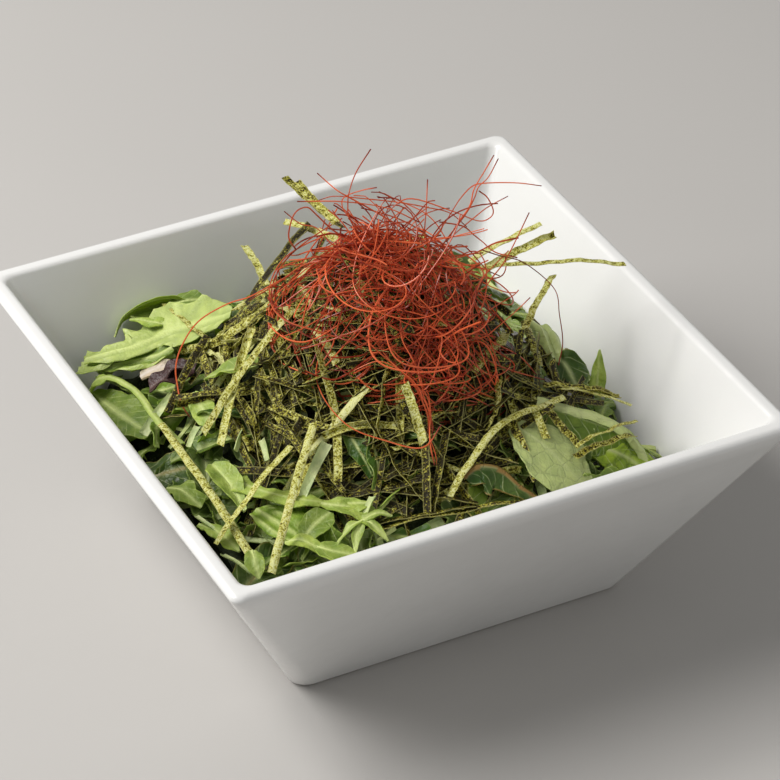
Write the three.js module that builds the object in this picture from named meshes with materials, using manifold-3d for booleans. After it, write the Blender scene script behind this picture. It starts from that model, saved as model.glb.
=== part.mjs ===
// A square white bowl heaped with chopped salad: cut leaves and stalks, shredded nori strewn over
// them, and a loose tangle of fine chilli threads on top. Millimetres, +Z up, origin at the middle
// of the foot. The near corner of the bowl is at -X -Y.

import * as THREE from 'three';
import { mergeVertices } from 'three/addons/utils/BufferGeometryUtils.js';
import Module from 'manifold-3d';

// Bowl: four flat walls that flare from a square foot to a square rim with a rounded lip.
const rimWidth = 190;
const baseWidth = 117;
const bowlHeight = 75;
const wallThickness = 6;
const floorHeight = 6;
const rimCorner = 3.5;
const baseCorner = 6;
const footHollow = 1.5;
const footWidth = 8;
const edgeRound = 2.4;
const lipRound = 2.2;
const floorFillet = 9;
const cornerSteps = 5;

// Heap: the greens rise from an outer level as a bell. The nori lies on them and the tangle on
// the nori, each thickest in the middle and fading towards a reach of its own.
const heapX = 3;
const heapY = 6;
const outerLevel = 43;
const outerTilt = 0.03;
const bellRise = 50;
const bellSpread = 50;
const bellPower = 2.3;
const noriHeight = 8;
const noriFade = 90;
const tangleHeight = 10;
const tangleFade = 44;
const frontward = -1.4;
const frontStretch = 0.12;
const heapSides = 24;
const tangleRings = [12, 24, 36];
const noriRings = [12, 24, 36, 46, 56];
const lumpHeight = 1.6;

// Cut pieces at their true size.
const stripWidth = 2.8;
const stripThickness = 0.6;
const threadWidth = 0.7;
const leafThickness = 0.9;
const stalkWidth = 3.2;
const clearance = 0.3;
const sunk = 1.2;

const scatterSeed = 41;
const strewnStrips = 32;
const curledThreads = 22;
const looseLeaves = 13;
const looseStalks = 7;

// Nori strips that stand out from the heap, each by hand: where it starts, where it ends, and the
// rise of its middle. A start with no height is sunk into the nori layer.
const longStrips = [
  { from: [-66, 24, 57], to: [-69, -63, 57], bow: 1 },
  { from: [-38, -28], to: [-70, -62, 57], bow: 5 },
  { from: [-40, -38], to: [-75, -43, 58], bow: 2 },
  { from: [-8, -50], to: [41, -36, 68], bow: 4 },
  { from: [38, -26], to: [70, -40, 60], bow: 4 },
  { from: [10, -50], to: [64, -53, 60], bow: 4 },
  { from: [-14, -52], to: [32, -66, 59], bow: 3 },
  { from: [32, -40], to: [66, -50, 60], bow: 5 },
  { from: [40, -2], to: [84, -9, 88], bow: 5 },
  { from: [42, 12], to: [70, 14, 92], bow: 2 },
  { from: [-14, 46], to: [-38, 66, 66], bow: 6 },
  { from: [-8, 44], to: [-5, 56, 98], bow: -2 },
  { from: [-46, 24], to: [-70, 20, 58], bow: 2 },
];

// Chilli threads that leave the tangle, each through a few points chosen by hand. The first has
// no height, as it is sunk into the tangle.
const longThreads = [
  [[-14, 22], [-30, 32, 96], [-44, 36, 88], [-54, 28, 80], [-57, 10, 72], [-52, -2, 66]],
  [[24, -4], [34, -7, 103], [44, -13, 100], [51, -22, 93], [49, -30, 84], [45, -36, 78]],
  [[-16, -12], [-34, -22, 88], [-32, -34, 81], [-25, -47, 77], [-11, -54, 75]],
  [[-4, -20], [-11, -36, 92], [-9, -47, 87], [-8, -55, 78]],
  [[16, 2], [30, 2, 118], [42, 6, 127], [47, 9, 133]],
  [[14, 10], [34, 2, 121], [46, 0, 124], [54, -5, 124]],
  [[2, 8], [-1, 17, 121], [-5, 28, 126]],
  [[-6, 6], [1, 16, 124], [8, 22, 134]],
  [[12, 0], [20, 6, 122], [21, 5, 130]],
  [[20, -8], [38, -10, 104], [54, -2, 112]],
];

const wasm = await Module();
wasm.setup();

// ---- seeded draws and small maths

function seededDraws(seed) {
  let state = seed;
  return (low, high) => {
    state = (state + 0x6d2b79f5) | 0;
    let mix = Math.imul(state ^ (state >>> 15), 1 | state);
    mix = (mix + Math.imul(mix ^ (mix >>> 7), 61 | mix)) ^ mix;
    return low + ((mix ^ (mix >>> 14)) >>> 0) / 4294967296 * (high - low);
  };
}

function mix(a, b, t) {
  return a + (b - a) * t;
}

// ---- solids

function solidFrom(geometry) {
  const bare = geometry.clone();
  bare.deleteAttribute('normal');
  bare.deleteAttribute('uv');
  const merged = mergeVertices(bare, 1e-4);
  return new wasm.Manifold(new wasm.Mesh({
    numProp: 3,
    vertProperties: merged.attributes.position.array,
    triVerts: new Uint32Array(merged.index.array),
  }));
}

function geometryFrom(points, faces) {
  const geometry = new THREE.BufferGeometry();
  geometry.setAttribute('position', new THREE.Float32BufferAttribute(points.flat(), 3));
  geometry.setIndex(faces.flat());
  return geometry;
}

// A closed skin through rings of equal length, between a first and a last middle point. Each quad
// is split from its outer ring to its inner one, so two skins over one grid have facets alike.
function loftSolid(first, rings, last) {
  const count = rings[0].length;
  const points = [first, ...rings.flat(), last];
  const spanOf = (ring) => Math.hypot(ring[0][0], ring[0][1]);
  const faces = [];
  for (let k = 0; k < count; k += 1) {
    const next = (k + 1) % count;
    faces.push([0, 1 + next, 1 + k]);
    for (let ring = 0; ring < rings.length - 1; ring += 1) {
      const low = 1 + ring * count;
      const high = low + count;
      if (spanOf(rings[ring]) >= spanOf(rings[ring + 1])) {
        faces.push([low + k, low + next, high + next], [low + k, high + next, high + k]);
      } else {
        faces.push([low + k, low + next, high + k], [low + next, high + next, high + k]);
      }
    }
    const top = 1 + (rings.length - 1) * count;
    faces.push([top + k, top + next, points.length - 1]);
  }
  return solidFrom(geometryFrom(points, faces));
}

// A thin sheet with its thickness either side of a grid of points, both faces split alike.
function sheetSolid(grid, thickness) {
  const rows = grid.length;
  const columns = grid[0].length;
  const points = [];
  for (const side of [1, -1]) {
    for (let i = 0; i < rows; i += 1) {
      for (let j = 0; j < columns; j += 1) {
        const along = grid[Math.min(i + 1, rows - 1)][j].clone().sub(grid[Math.max(i - 1, 0)][j]);
        const across = grid[i][Math.min(j + 1, columns - 1)].clone().sub(grid[i][Math.max(j - 1, 0)]);
        const normal = along.cross(across).normalize();
        points.push(grid[i][j].clone().addScaledVector(normal, side * thickness / 2).toArray());
      }
    }
  }
  const faces = [];
  const under = rows * columns;
  for (let i = 0; i < rows - 1; i += 1) {
    for (let j = 0; j < columns - 1; j += 1) {
      const a = i * columns + j;
      const b = a + columns;
      faces.push([a, b, b + 1], [a, b + 1, a + 1]);
      faces.push([under + a, under + b + 1, under + b], [under + a, under + a + 1, under + b + 1]);
    }
  }
  const rim = [];
  for (let i = 0; i < rows - 1; i += 1) rim.push(i * columns);
  for (let j = 0; j < columns - 1; j += 1) rim.push((rows - 1) * columns + j);
  for (let i = rows - 1; i > 0; i -= 1) rim.push(i * columns + columns - 1);
  for (let j = columns - 1; j > 0; j -= 1) rim.push(j);
  rim.forEach((a, k) => {
    const b = rim[(k + 1) % rim.length];
    faces.push([a, under + a, b], [b, under + a, under + b]);
  });
  return solidFrom(geometryFrom(points, faces));
}

// A round-ish rod with few sides along a smooth curve.
function rodSolid(points, width, sides, steps) {
  const section = new THREE.Shape();
  for (let k = 0; k < sides; k += 1) {
    const angle = k * 2 * Math.PI / sides;
    const x = Math.cos(angle) * width / 2;
    const y = Math.sin(angle) * width / 2;
    if (k === 0) section.moveTo(x, y);
    else section.lineTo(x, y);
  }
  const extrudePath = new THREE.CatmullRomCurve3(points.map((p) => new THREE.Vector3(...p)));
  return solidFrom(new THREE.ExtrudeGeometry(section, { steps, extrudePath }));
}

function overlaps(solid, others) {
  return others.some((other) => other.intersect(solid).volume() > 1e-6);
}

// Joins the pieces to their core and drops any scrap that doesn't reach it.
function fuse(core, pieces) {
  const joined = pieces.reduce((whole, piece) => whole.add(piece), core);
  const parts = joined.decompose();
  return parts.reduce((best, part) => (part.volume() > best.volume() ? part : best));
}

// ---- bowl

const wallRun = (rimWidth - baseWidth) / 2;
const wallRise = bowlHeight - lipRound;

function outerHalf(z) {
  return baseWidth / 2 + wallRun * z / wallRise;
}

function innerHalf(z) {
  return outerHalf(z) - wallThickness;
}

function squareRing(half, corner, z) {
  const ring = [];
  for (let quarter = 0; quarter < 4; quarter += 1) {
    const diagonal = (quarter + 0.5) * Math.PI / 2;
    const middleX = Math.sign(Math.cos(diagonal)) * (half - corner);
    const middleY = Math.sign(Math.sin(diagonal)) * (half - corner);
    for (let step = 0; step < cornerSteps; step += 1) {
      const angle = (quarter + step / (cornerSteps - 1)) * Math.PI / 2;
      ring.push([middleX + corner * Math.cos(angle), middleY + corner * Math.sin(angle), z]);
    }
  }
  return ring;
}

function cornerAt(z) {
  return mix(baseCorner, rimCorner, z / bowlHeight);
}

// Rings along a quarter-like arc, from one angle to another, in the plane of half width and height.
function arcRings(middleHalf, middleZ, radius, fromAngle, toAngle, steps) {
  return Array.from({ length: steps + 1 }, (_, k) => {
    const angle = mix(fromAngle, toAngle, k / steps);
    const z = middleZ + radius * Math.sin(angle);
    return squareRing(middleHalf + radius * Math.cos(angle), cornerAt(z), z);
  });
}

function makeBowl() {
  const lean = Math.atan2(wallRun, wallRise);
  const footOuter = baseWidth / 2 - edgeRound / 2;
  const footInner = footOuter - footWidth;
  const lipTop = bowlHeight - lipRound;
  const lipOuter = rimWidth / 2 - lipRound;
  const lipInner = innerHalf(lipTop) + lipRound / Math.cos(lean);
  const filletHalf = innerHalf(floorHeight + floorFillet) - floorFillet / Math.cos(lean);
  return loftSolid([0, 0, footHollow], [
    squareRing(footInner - footHollow, baseCorner, footHollow),
    squareRing(footInner, baseCorner, 0),
    ...arcRings(footOuter - edgeRound / 2, edgeRound, edgeRound, -Math.PI / 2, -lean, 2),
    ...arcRings(lipOuter, lipTop, lipRound, 0, Math.PI / 2, 3),
    ...arcRings(lipInner, lipTop, lipRound, Math.PI / 2, Math.PI - lean, 2),
    ...arcRings(filletHalf, floorHeight + floorFillet, floorFillet, -lean, -Math.PI / 2, 3),
  ], [0, 0, floorHeight]);
}

// ---- heap

function reachOf(x, y) {
  return Math.hypot(x - heapX, y - heapY);
}

function lumps(x, y) {
  const broad = Math.sin(0.21 * x + 1.3) * Math.cos(0.19 * y - 0.7);
  const fine = Math.sin(0.43 * x - 0.31 * y);
  return lumpHeight * (0.7 * broad + 0.3 * fine);
}

function greensLevel(x, y) {
  const bell = Math.exp(-((reachOf(x, y) / bellSpread) ** bellPower));
  return outerLevel - outerTilt * (x + y) + bellRise * bell + lumps(x, y);
}

function noriLevel(x, y) {
  return greensLevel(x, y) + noriHeight * (1 - (reachOf(x, y) / noriFade) ** 2);
}

function chiliLevel(x, y) {
  return noriLevel(x, y) + tangleHeight * (1 - (reachOf(x, y) / tangleFade) ** 2);
}

// A place on the heap by direction and reach: the toppings reach further down its front.
function heapPlace(angle, reach) {
  const stretched = reach * (1 + frontStretch * Math.cos(angle - frontward));
  return [heapX + stretched * Math.cos(angle), heapY + stretched * Math.sin(angle)];
}

// One ring of the heap's round grid at a given reach from its middle, on the surface given.
function heapRing(reach, surface, lift) {
  return Array.from({ length: heapSides }, (_, k) => {
    const [x, y] = heapPlace(k * 2 * Math.PI / heapSides, reach);
    return [x, y, surface(x, y) + lift];
  });
}

// Where the wall's inside, less a margin, lies in one of the grid's directions.
function wallPoint(k, z, margin) {
  const angle = k * 2 * Math.PI / heapSides;
  const dx = Math.cos(angle);
  const dy = Math.sin(angle);
  const onFlat = (innerHalf(z) - margin) / Math.max(Math.abs(dx), Math.abs(dy));
  const inCorner = Math.abs(Math.abs(dx) - Math.abs(dy)) < 1e-6;
  const reach = inCorner ? onFlat - baseCorner * (Math.SQRT2 - 1) : onFlat;
  return [reach * dx, reach * dy, z];
}

function wallRing(z, margin) {
  return Array.from({ length: heapSides }, (_, k) => wallPoint(k, z, margin));
}

// The ring where the greens meet the wall, each point at the greens' own level there.
function greensEdge() {
  return wallRing(outerLevel, 1).map(([x, y], k) => {
    return wallPoint(k, greensLevel(x, y) - 2, 1);
  });
}

function blendRing(outer, inner, t) {
  return outer.map((p, k) => {
    const x = mix(p[0], inner[k][0], t);
    const y = mix(p[1], inner[k][1], t);
    return [x, y, greensLevel(x, y)];
  });
}

function makeGreensCore() {
  const topEdge = greensEdge();
  const innermost = heapRing(noriRings.at(-1), greensLevel, 0);
  const deep = floorHeight + clearance + 0.1;
  return loftSolid([0, 0, deep], [
    wallRing(deep, floorFillet),
    wallRing(floorHeight + floorFillet, 1.2),
    topEdge,
    blendRing(topEdge, innermost, 0.3),
    blendRing(topEdge, innermost, 0.65),
    ...noriRings.toReversed().map((reach) => heapRing(reach, greensLevel, 0)),
  ], [heapX, heapY, greensLevel(heapX, heapY)]);
}

// A cap over the heap: its underside follows the layer below, a clearance above it.
function makeCap(reaches, under, over) {
  return loftSolid([heapX, heapY, under(heapX, heapY) + clearance], [
    ...reaches.map((reach) => heapRing(reach, under, clearance)),
    ...reaches.toReversed().map((reach) => heapRing(reach, over, 0)),
  ], [heapX, heapY, over(heapX, heapY)]);
}

// ---- nori

// A flat strip through its points, twisted a little from end to end.
function strip(points, twist, grow) {
  const grid = points.map((point, i) => {
    const before = points[Math.max(i - 1, 0)];
    const after = points[Math.min(i + 1, points.length - 1)];
    const along = after.clone().sub(before).normalize();
    const across = new THREE.Vector3(0, 0, 1).cross(along).normalize();
    across.applyAxisAngle(along, mix(-twist, twist, i / (points.length - 1)));
    return [-1, 1].map((side) => point.clone().addScaledVector(across, side * (stripWidth / 2 + grow)));
  });
  return sheetSolid(grid, stripThickness + 2 * grow);
}

function bowedPoints(from, to, bow) {
  return [0, 1 / 3, 2 / 3, 1].map((t) => {
    const point = new THREE.Vector3(...from).lerp(new THREE.Vector3(...to), t);
    point.z += bow * Math.sin(Math.PI * t);
    return point;
  });
}

// A strip over the heap's surface from a random place: one end sunk in, the rest arched above.
function strewnPoints(draw) {
  const turn = draw(0, 2 * Math.PI);
  const [middleX, middleY] = heapPlace(turn, draw(noriRings[2] + 2, noriRings.at(-1) + 2));
  const heading = turn + draw(-1.1, 1.1) + Math.PI * Math.round(draw(0, 1));
  const length = draw(24, 52);
  const arch = draw(1.5, 4);
  const endLift = draw(-1, 6);
  return [0, 1 / 3, 2 / 3, 1].map((t) => {
    const x = middleX + (t - 0.5) * length * Math.cos(heading);
    const y = middleY + (t - 0.5) * length * Math.sin(heading);
    const lift = mix(-sunk, endLift, t * t) + arch * Math.sin(Math.PI * t);
    return new THREE.Vector3(x, y, noriLevel(x, y) + lift);
  });
}

function makeNori(draw, neighbours) {
  const pieces = [];
  const place = (points, twist) => {
    if (overlaps(strip(points, twist, clearance), neighbours)) return false;
    pieces.push(strip(points, twist, 0));
    return true;
  };
  longStrips.forEach(({ from, to, bow }) => {
    const [x, y, z = noriLevel(x, y) - sunk] = from;
    place(bowedPoints([x, y, z], to, bow), 0.3);
  });
  let laid = 0;
  for (let tries = 0; laid < strewnStrips && tries < 40 * strewnStrips; tries += 1) {
    if (place(strewnPoints(draw), draw(-0.7, 0.7))) laid += 1;
  }
  return fuse(makeCap(noriRings, greensLevel, noriLevel), pieces);
}

// ---- chilli threads

// A loose curl on the tangle: part of a tilted ellipse, half sunk in it.
function curlPoints(draw) {
  const reach = tangleRings.at(-1) * 0.9 * Math.sqrt(draw(0, 1));
  const [middleX, middleY] = heapPlace(draw(0, 2 * Math.PI), reach);
  const long = draw(8, 16);
  const short = draw(4, 9);
  const heading = draw(0, Math.PI);
  const start = draw(0, 2 * Math.PI);
  const sweep = draw(2.6, 4.6);
  const tilt = draw(0, 0.6);
  return Array.from({ length: 6 }, (_, k) => {
    const angle = start + sweep * k / 5;
    const u = long * Math.cos(angle);
    const v = short * Math.sin(angle);
    const x = middleX + u * Math.cos(heading) - v * Math.sin(heading);
    const y = middleY + u * Math.sin(heading) + v * Math.cos(heading);
    const arch = 3.5 * Math.sin(Math.PI * k / 5) - 2 * sunk;
    return [x, y, chiliLevel(x, y) + arch + Math.abs(v) * tilt];
  });
}

function makeChili(draw, core, neighbours) {
  const pieces = [];
  const place = (points, steps) => {
    if (overlaps(rodSolid(points, threadWidth + 4 * clearance, 3, steps), neighbours)) return false;
    pieces.push(rodSolid(points, threadWidth, 3, steps));
    return true;
  };
  longThreads.forEach(([[x, y], ...rest]) => {
    place([[x, y, chiliLevel(x, y) - 2 * sunk], ...rest], 2 * rest.length + 2);
  });
  let laid = 0;
  for (let tries = 0; laid < curledThreads && tries < 40 * curledThreads; tries += 1) {
    if (place(curlPoints(draw), 9)) laid += 1;
  }
  return fuse(core, pieces);
}

// ---- greens

// A cut leaf lying along X from its base: lobed as mizuna is, or round and ruffled as lettuce is.
function leafGrid({ kind, length, width, curl, ruffle, phase }, grow) {
  const lobed = kind === 'lobed';
  const rows = lobed ? 7 : 4;
  const columns = lobed ? 3 : 5;
  return Array.from({ length: rows }, (_, i) => {
    const u = i / (rows - 1);
    const swell = Math.sin(Math.PI * mix(0.1, 0.93, u)) ** (lobed ? 0.8 : 0.55);
    const notch = lobed && i % 2 === 0 ? 0.45 : 1;
    const half = Math.max(width / 2 * swell * notch, 0.8) + grow;
    return Array.from({ length: columns }, (__, j) => {
      const v = 2 * j / (columns - 1) - 1;
      const forward = lobed ? 0.07 * length * Math.abs(v) * (i % 2) : 0;
      const wave = ruffle * v * v * Math.sin(7 * u + phase + (v > 0 ? 1.9 : 0));
      const cup = curl * (v * v - 0.3) * width * 0.35;
      return new THREE.Vector3(
        mix(-grow, length + grow, u) + forward - length / 2,
        v * half,
        cup + wave + curl * length * 0.3 * Math.cos(Math.PI * (u - 0.5)),
      );
    });
  });
}

function leafSolid(shape, at, grow) {
  const turn = new THREE.Euler(at.roll, at.pitch, at.yaw, 'ZYX');
  const z = greensLevel(at.x, at.y) + at.rise;
  const matrix = new THREE.Matrix4().makeRotationFromEuler(turn).setPosition(at.x, at.y, z);
  const grid = leafGrid(shape, grow).map((row) => row.map((point) => point.applyMatrix4(matrix)));
  return sheetSolid(grid, leafThickness + 2 * grow);
}

// Leaves that show most, each by hand: where the middle lies, its rise above the greens' level,
// and how it leans.
const shownLeaves = [
  [{ kind: 'round', length: 34, width: 30, curl: 0.3, ruffle: 2, phase: 0.4 },
    { x: 36, y: -70, rise: 2, yaw: 2.9, pitch: -0.1, roll: -0.3 }],
  [{ kind: 'round', length: 30, width: 24, curl: -0.7, ruffle: 1.5, phase: 2.2 },
    { x: 60, y: -60, rise: 6, yaw: 1.1, pitch: -0.3, roll: 0.4 }],
  [{ kind: 'lobed', length: 34, width: 15, curl: 0.3, ruffle: 1, phase: 0 },
    { x: 74, y: -24, rise: 9, yaw: 0.4, pitch: -0.9, roll: 0.3 }],
  [{ kind: 'lobed', length: 44, width: 18, curl: 0.4, ruffle: 1.5, phase: 1 },
    { x: -56, y: 58, rise: 3, yaw: 2.4, pitch: -0.15, roll: 0.2 }],
  [{ kind: 'lobed', length: 38, width: 16, curl: 0.3, ruffle: 1.5, phase: 3 },
    { x: -73, y: 46, rise: 4, yaw: -1.4, pitch: -0.2, roll: 0.5 }],
  [{ kind: 'round', length: 28, width: 22, curl: 0.4, ruffle: 2, phase: 1.1 },
    { x: -48, y: -54, rise: 1, yaw: 2.2, pitch: -0.1, roll: -0.2 }],
  [{ kind: 'lobed', length: 36, width: 18, curl: 0.3, ruffle: 1.5, phase: 2 },
    { x: -75, y: -8, rise: 1.5, yaw: 1.7, pitch: -0.1, roll: 0.4 }],
  [{ kind: 'lobed', length: 32, width: 20, curl: 0.2, ruffle: 1, phase: 1.4 },
    { x: -38, y: -69, rise: 1, yaw: -0.2, pitch: -0.1, roll: 0.3 }],
  [{ kind: 'round', length: 28, width: 20, curl: 0.5, ruffle: 2, phase: 0.2 },
    { x: 2, y: -72, rise: 1, yaw: 0.1, pitch: -0.1, roll: 0.4 }],
  [{ kind: 'lobed', length: 44, width: 14, curl: 0.6, ruffle: 1, phase: 2.6 },
    { x: -44, y: 72, rise: 5, yaw: 0.2, pitch: -0.2, roll: -0.5 }],
  [{ kind: 'round', length: 34, width: 26, curl: 0.5, ruffle: 2.5, phase: 0.9 },
    { x: 73, y: 44, rise: 1, yaw: 1.5, pitch: -0.1, roll: 0.3 }],
  [{ kind: 'round', length: 30, width: 24, curl: 0.4, ruffle: 2.5, phase: 2.9 },
    { x: 40, y: 67, rise: 1, yaw: 2.8, pitch: -0.15, roll: -0.3 }],
];

// A random place on the greens between the nori and the walls.
function outerPlace(draw) {
  const limit = innerHalf(outerLevel) - 4;
  for (;;) {
    const x = draw(-limit, limit);
    const y = draw(-limit, limit);
    if (reachOf(x, y) > noriRings.at(-1)) {
      return { x, y, yaw: draw(0, 2 * Math.PI) };
    }
  }
}

function randomLean(draw) {
  return { ...outerPlace(draw), rise: draw(0.5, 4), pitch: draw(-0.45, -0.15), roll: draw(-0.4, 0.4) };
}

function randomLeaf(draw) {
  const kind = draw(0, 1) < 0.6 ? 'lobed' : 'round';
  const length = draw(22, 38);
  const width = kind === 'lobed' ? draw(10, 17) : draw(16, 26);
  return { kind, length, width, curl: draw(0.1, 0.6), ruffle: draw(1, 2.5), phase: draw(0, 6.3) };
}

function randomStalk(draw) {
  const { x, y, yaw } = outerPlace(draw);
  const z = greensLevel(x, y) + 1;
  const half = draw(9, 20);
  return [-1, 0, 1].map((t) => [
    x + t * half * Math.cos(yaw),
    y + t * half * Math.sin(yaw),
    z + 2 * (1 - t * t) + t * draw(-1.5, 1.5),
  ]);
}

function makeGreens(draw, core, room, neighbours) {
  const pieces = [];
  const place = (make) => {
    const whole = make(0);
    if (overlaps(make(clearance), neighbours)) return false;
    pieces.push(whole.intersect(room));
    return true;
  };
  shownLeaves.forEach(([shape, at]) => place((grow) => leafSolid(shape, at, grow)));
  let stalks = 0;
  for (let tries = 0; stalks < looseStalks && tries < 60 * looseStalks; tries += 1) {
    const points = randomStalk(draw);
    if (place((grow) => rodSolid(points, stalkWidth + 2 * grow, 5, 3))) stalks += 1;
  }
  let leaves = 0;
  for (let tries = 0; leaves < looseLeaves && tries < 60 * looseLeaves; tries += 1) {
    const shape = randomLeaf(draw);
    const at = randomLean(draw);
    if (place((grow) => leafSolid(shape, at, grow))) leaves += 1;
  }
  return fuse(core, pieces);
}

// The space that the salad may fill: inside the walls, less a clearance, and open above.
function makeRoom() {
  const top = bowlHeight * 2;
  const inside = (z, corner) => squareRing(innerHalf(z) - 2 * clearance, corner, z);
  const low = floorHeight + floorFillet;
  return loftSolid([0, 0, low], [inside(low, baseCorner), inside(top, rimCorner)], [0, 0, top]);
}

// ---- the whole

const glaze = new THREE.MeshStandardMaterial({ color: 0xebe9e3, roughness: 0.18, metalness: 0 });
const leafGreen = new THREE.MeshStandardMaterial({ color: 0x8fae4a, roughness: 0.6, metalness: 0 });
const noriGreen = new THREE.MeshStandardMaterial({ color: 0x5c6136, roughness: 0.55, metalness: 0 });
const chiliRed = new THREE.MeshStandardMaterial({ color: 0xb4371c, roughness: 0.6, metalness: 0 });

function meshOf(name, solid, material) {
  const { vertProperties, triVerts } = solid.getMesh();
  const geometry = new THREE.BufferGeometry();
  geometry.setAttribute('position', new THREE.BufferAttribute(new Float32Array(vertProperties), 3));
  geometry.setIndex(new THREE.BufferAttribute(new Uint32Array(triVerts), 1));
  geometry.computeVertexNormals();
  const mesh = new THREE.Mesh(geometry, material);
  mesh.name = name;
  return mesh;
}

const draw = seededDraws(scatterSeed);
const bowlSolid = makeBowl();
const greensCore = makeGreensCore();
const tangleCore = makeCap(tangleRings, noriLevel, chiliLevel);
const noriSolid = makeNori(draw, [bowlSolid, greensCore, tangleCore]);
const chiliSolid = makeChili(draw, tangleCore, [noriSolid]);
const greensSolid = makeGreens(draw, greensCore, makeRoom(), [noriSolid, chiliSolid]);

const salad = new THREE.Group();
salad.add(meshOf('bowl', bowlSolid, glaze));
salad.add(meshOf('salad_greens', greensSolid, leafGreen));
salad.add(meshOf('nori_shreds', noriSolid, noriGreen));
salad.add(meshOf('chili_threads', chiliSolid, chiliRed));

export default salad;
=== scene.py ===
import math
import random
import bpy
import numpy as np
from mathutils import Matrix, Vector


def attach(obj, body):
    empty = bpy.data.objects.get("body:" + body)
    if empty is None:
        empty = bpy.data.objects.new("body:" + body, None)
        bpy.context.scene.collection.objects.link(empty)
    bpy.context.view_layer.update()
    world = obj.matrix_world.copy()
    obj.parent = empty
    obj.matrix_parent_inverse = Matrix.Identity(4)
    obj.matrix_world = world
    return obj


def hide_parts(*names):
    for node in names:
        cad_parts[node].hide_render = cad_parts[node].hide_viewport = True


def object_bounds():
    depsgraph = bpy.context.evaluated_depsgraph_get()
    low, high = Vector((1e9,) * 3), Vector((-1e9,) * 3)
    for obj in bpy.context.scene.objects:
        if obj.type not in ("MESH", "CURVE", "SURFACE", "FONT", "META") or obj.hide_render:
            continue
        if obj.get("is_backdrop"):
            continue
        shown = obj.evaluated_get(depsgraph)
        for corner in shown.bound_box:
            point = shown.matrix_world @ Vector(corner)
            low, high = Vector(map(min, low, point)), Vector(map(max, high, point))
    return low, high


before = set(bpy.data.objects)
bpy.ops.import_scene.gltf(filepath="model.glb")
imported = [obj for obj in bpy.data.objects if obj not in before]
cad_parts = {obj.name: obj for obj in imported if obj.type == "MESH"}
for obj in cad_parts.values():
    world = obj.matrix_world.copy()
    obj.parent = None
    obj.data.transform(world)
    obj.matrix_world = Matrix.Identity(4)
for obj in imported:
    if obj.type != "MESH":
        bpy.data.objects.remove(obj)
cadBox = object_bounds()

mm = 0.001          # everything below is worked out in millimetres and scaled once, in makePiece
fullTurn = 2 * math.pi


def newPile():
    return {"points": [], "faces": [], "count": 0, "marks": {}}


# adds points and faces to a pile, with marks by name: one number, or a number for each point
def addTo(pile, points, faces, **marks):
    pile["points"].append(points)
    pile["faces"].extend((np.asarray(face) + pile["count"]).tolist() for face in faces)
    for name, value in marks.items():
        column = np.broadcast_to(np.asarray(value, float), (len(points),))
        pile["marks"].setdefault(name, []).append(column)
    pile["count"] += len(points)


# turns a pile into one piece of the scene that dresses a node of the frame
def makePiece(name, pile, material, node, sharpOver=None):
    mesh = bpy.data.meshes.new(name)
    mesh.from_pydata((np.vstack(pile["points"]) * mm).tolist(), [], pile["faces"])
    mesh.polygons.foreach_set("use_smooth", [True] * len(mesh.polygons))
    for mark, columns in pile["marks"].items():
        layer = mesh.attributes.new(mark, "FLOAT", "POINT")
        layer.data.foreach_set("value", np.concatenate(columns).astype(np.float32))
    mesh.materials.append(material)
    mesh.update()
    if sharpOver:
        mesh.set_sharp_from_angle(angle=math.radians(sharpOver))
    piece = bpy.data.objects.new(name, mesh)
    bpy.context.scene.collection.objects.link(piece)
    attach(piece, "root")
    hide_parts(node)
    print("made", piece.name, len(piece.data.polygons), "faces")


# closed thin sheet about a grid of points, rows x columns x 3
def sheetMesh(grid, thickness):
    rows, columns = grid.shape[:2]
    normal = np.cross(np.gradient(grid, axis=0), np.gradient(grid, axis=1))
    normal /= np.linalg.norm(normal, axis=2, keepdims=True) + 1e-9
    half = normal * (thickness / 2)
    points = np.vstack([(grid + half).reshape(-1, 3), (grid - half).reshape(-1, 3)])
    under = rows * columns
    index = np.arange(under).reshape(rows, columns)
    a, b = index[:-1, :-1].ravel(), index[1:, :-1].ravel()
    c, d = index[1:, 1:].ravel(), index[:-1, 1:].ravel()
    faces = np.stack([a, b, c, d], 1).tolist()
    faces += (np.stack([a, d, c, b], 1) + under).tolist()
    rim = np.concatenate([index[:-1, 0], index[-1, :-1], index[:0:-1, -1], index[0, :0:-1]])
    after = np.roll(rim, -1)
    faces += np.stack([rim, rim + under, after + under, after], 1).tolist()
    return points, faces


# quads between rings of points that follow each other, and the points' numbers, a row for each ring
def skinFaces(rings, size, flipped=False):
    index = np.arange(rings * size).reshape(rings, size)
    beside = np.roll(index, -1, axis=1)
    corners = [index[:-1], beside[:-1], beside[1:], index[1:]]
    if flipped:
        corners[1:] = corners[:0:-1]
    return np.stack([corner.ravel() for corner in corners], 1).tolist(), index


# rings closed by one point inside the first of them and one inside the last
def closedSkin(rings, firstPoint, lastPoint):
    points = np.vstack([*rings, [firstPoint], [lastPoint]])
    faces, index = skinFaces(len(rings), len(rings[0]))
    first, last = len(points) - 2, len(points) - 1
    faces += [[int(b), int(a), first] for a, b in zip(index[0], np.roll(index[0], -1))]
    faces += [[int(a), int(b), last] for a, b in zip(index[-1], np.roll(index[-1], -1))]
    return points, faces


# frames carried along a path, so that nothing on it twists by itself
def carriedFrames(path):
    tangents = np.gradient(path, axis=0)
    tangents /= np.linalg.norm(tangents, axis=1, keepdims=True) + 1e-9
    normal = np.array([0.0, 0.0, 1.0])
    normals = []
    for tangent in tangents:
        normal = normal - tangent * normal.dot(tangent)
        size = np.linalg.norm(normal)
        if size < 1e-3:
            normal = np.cross(tangent, (1.0, 0.3, 0.2))
            size = np.linalg.norm(normal)
        normal = normal / size
        normals.append(normal)
    normals = np.array(normals)
    return tangents, normals, np.cross(normals, tangents)


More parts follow.
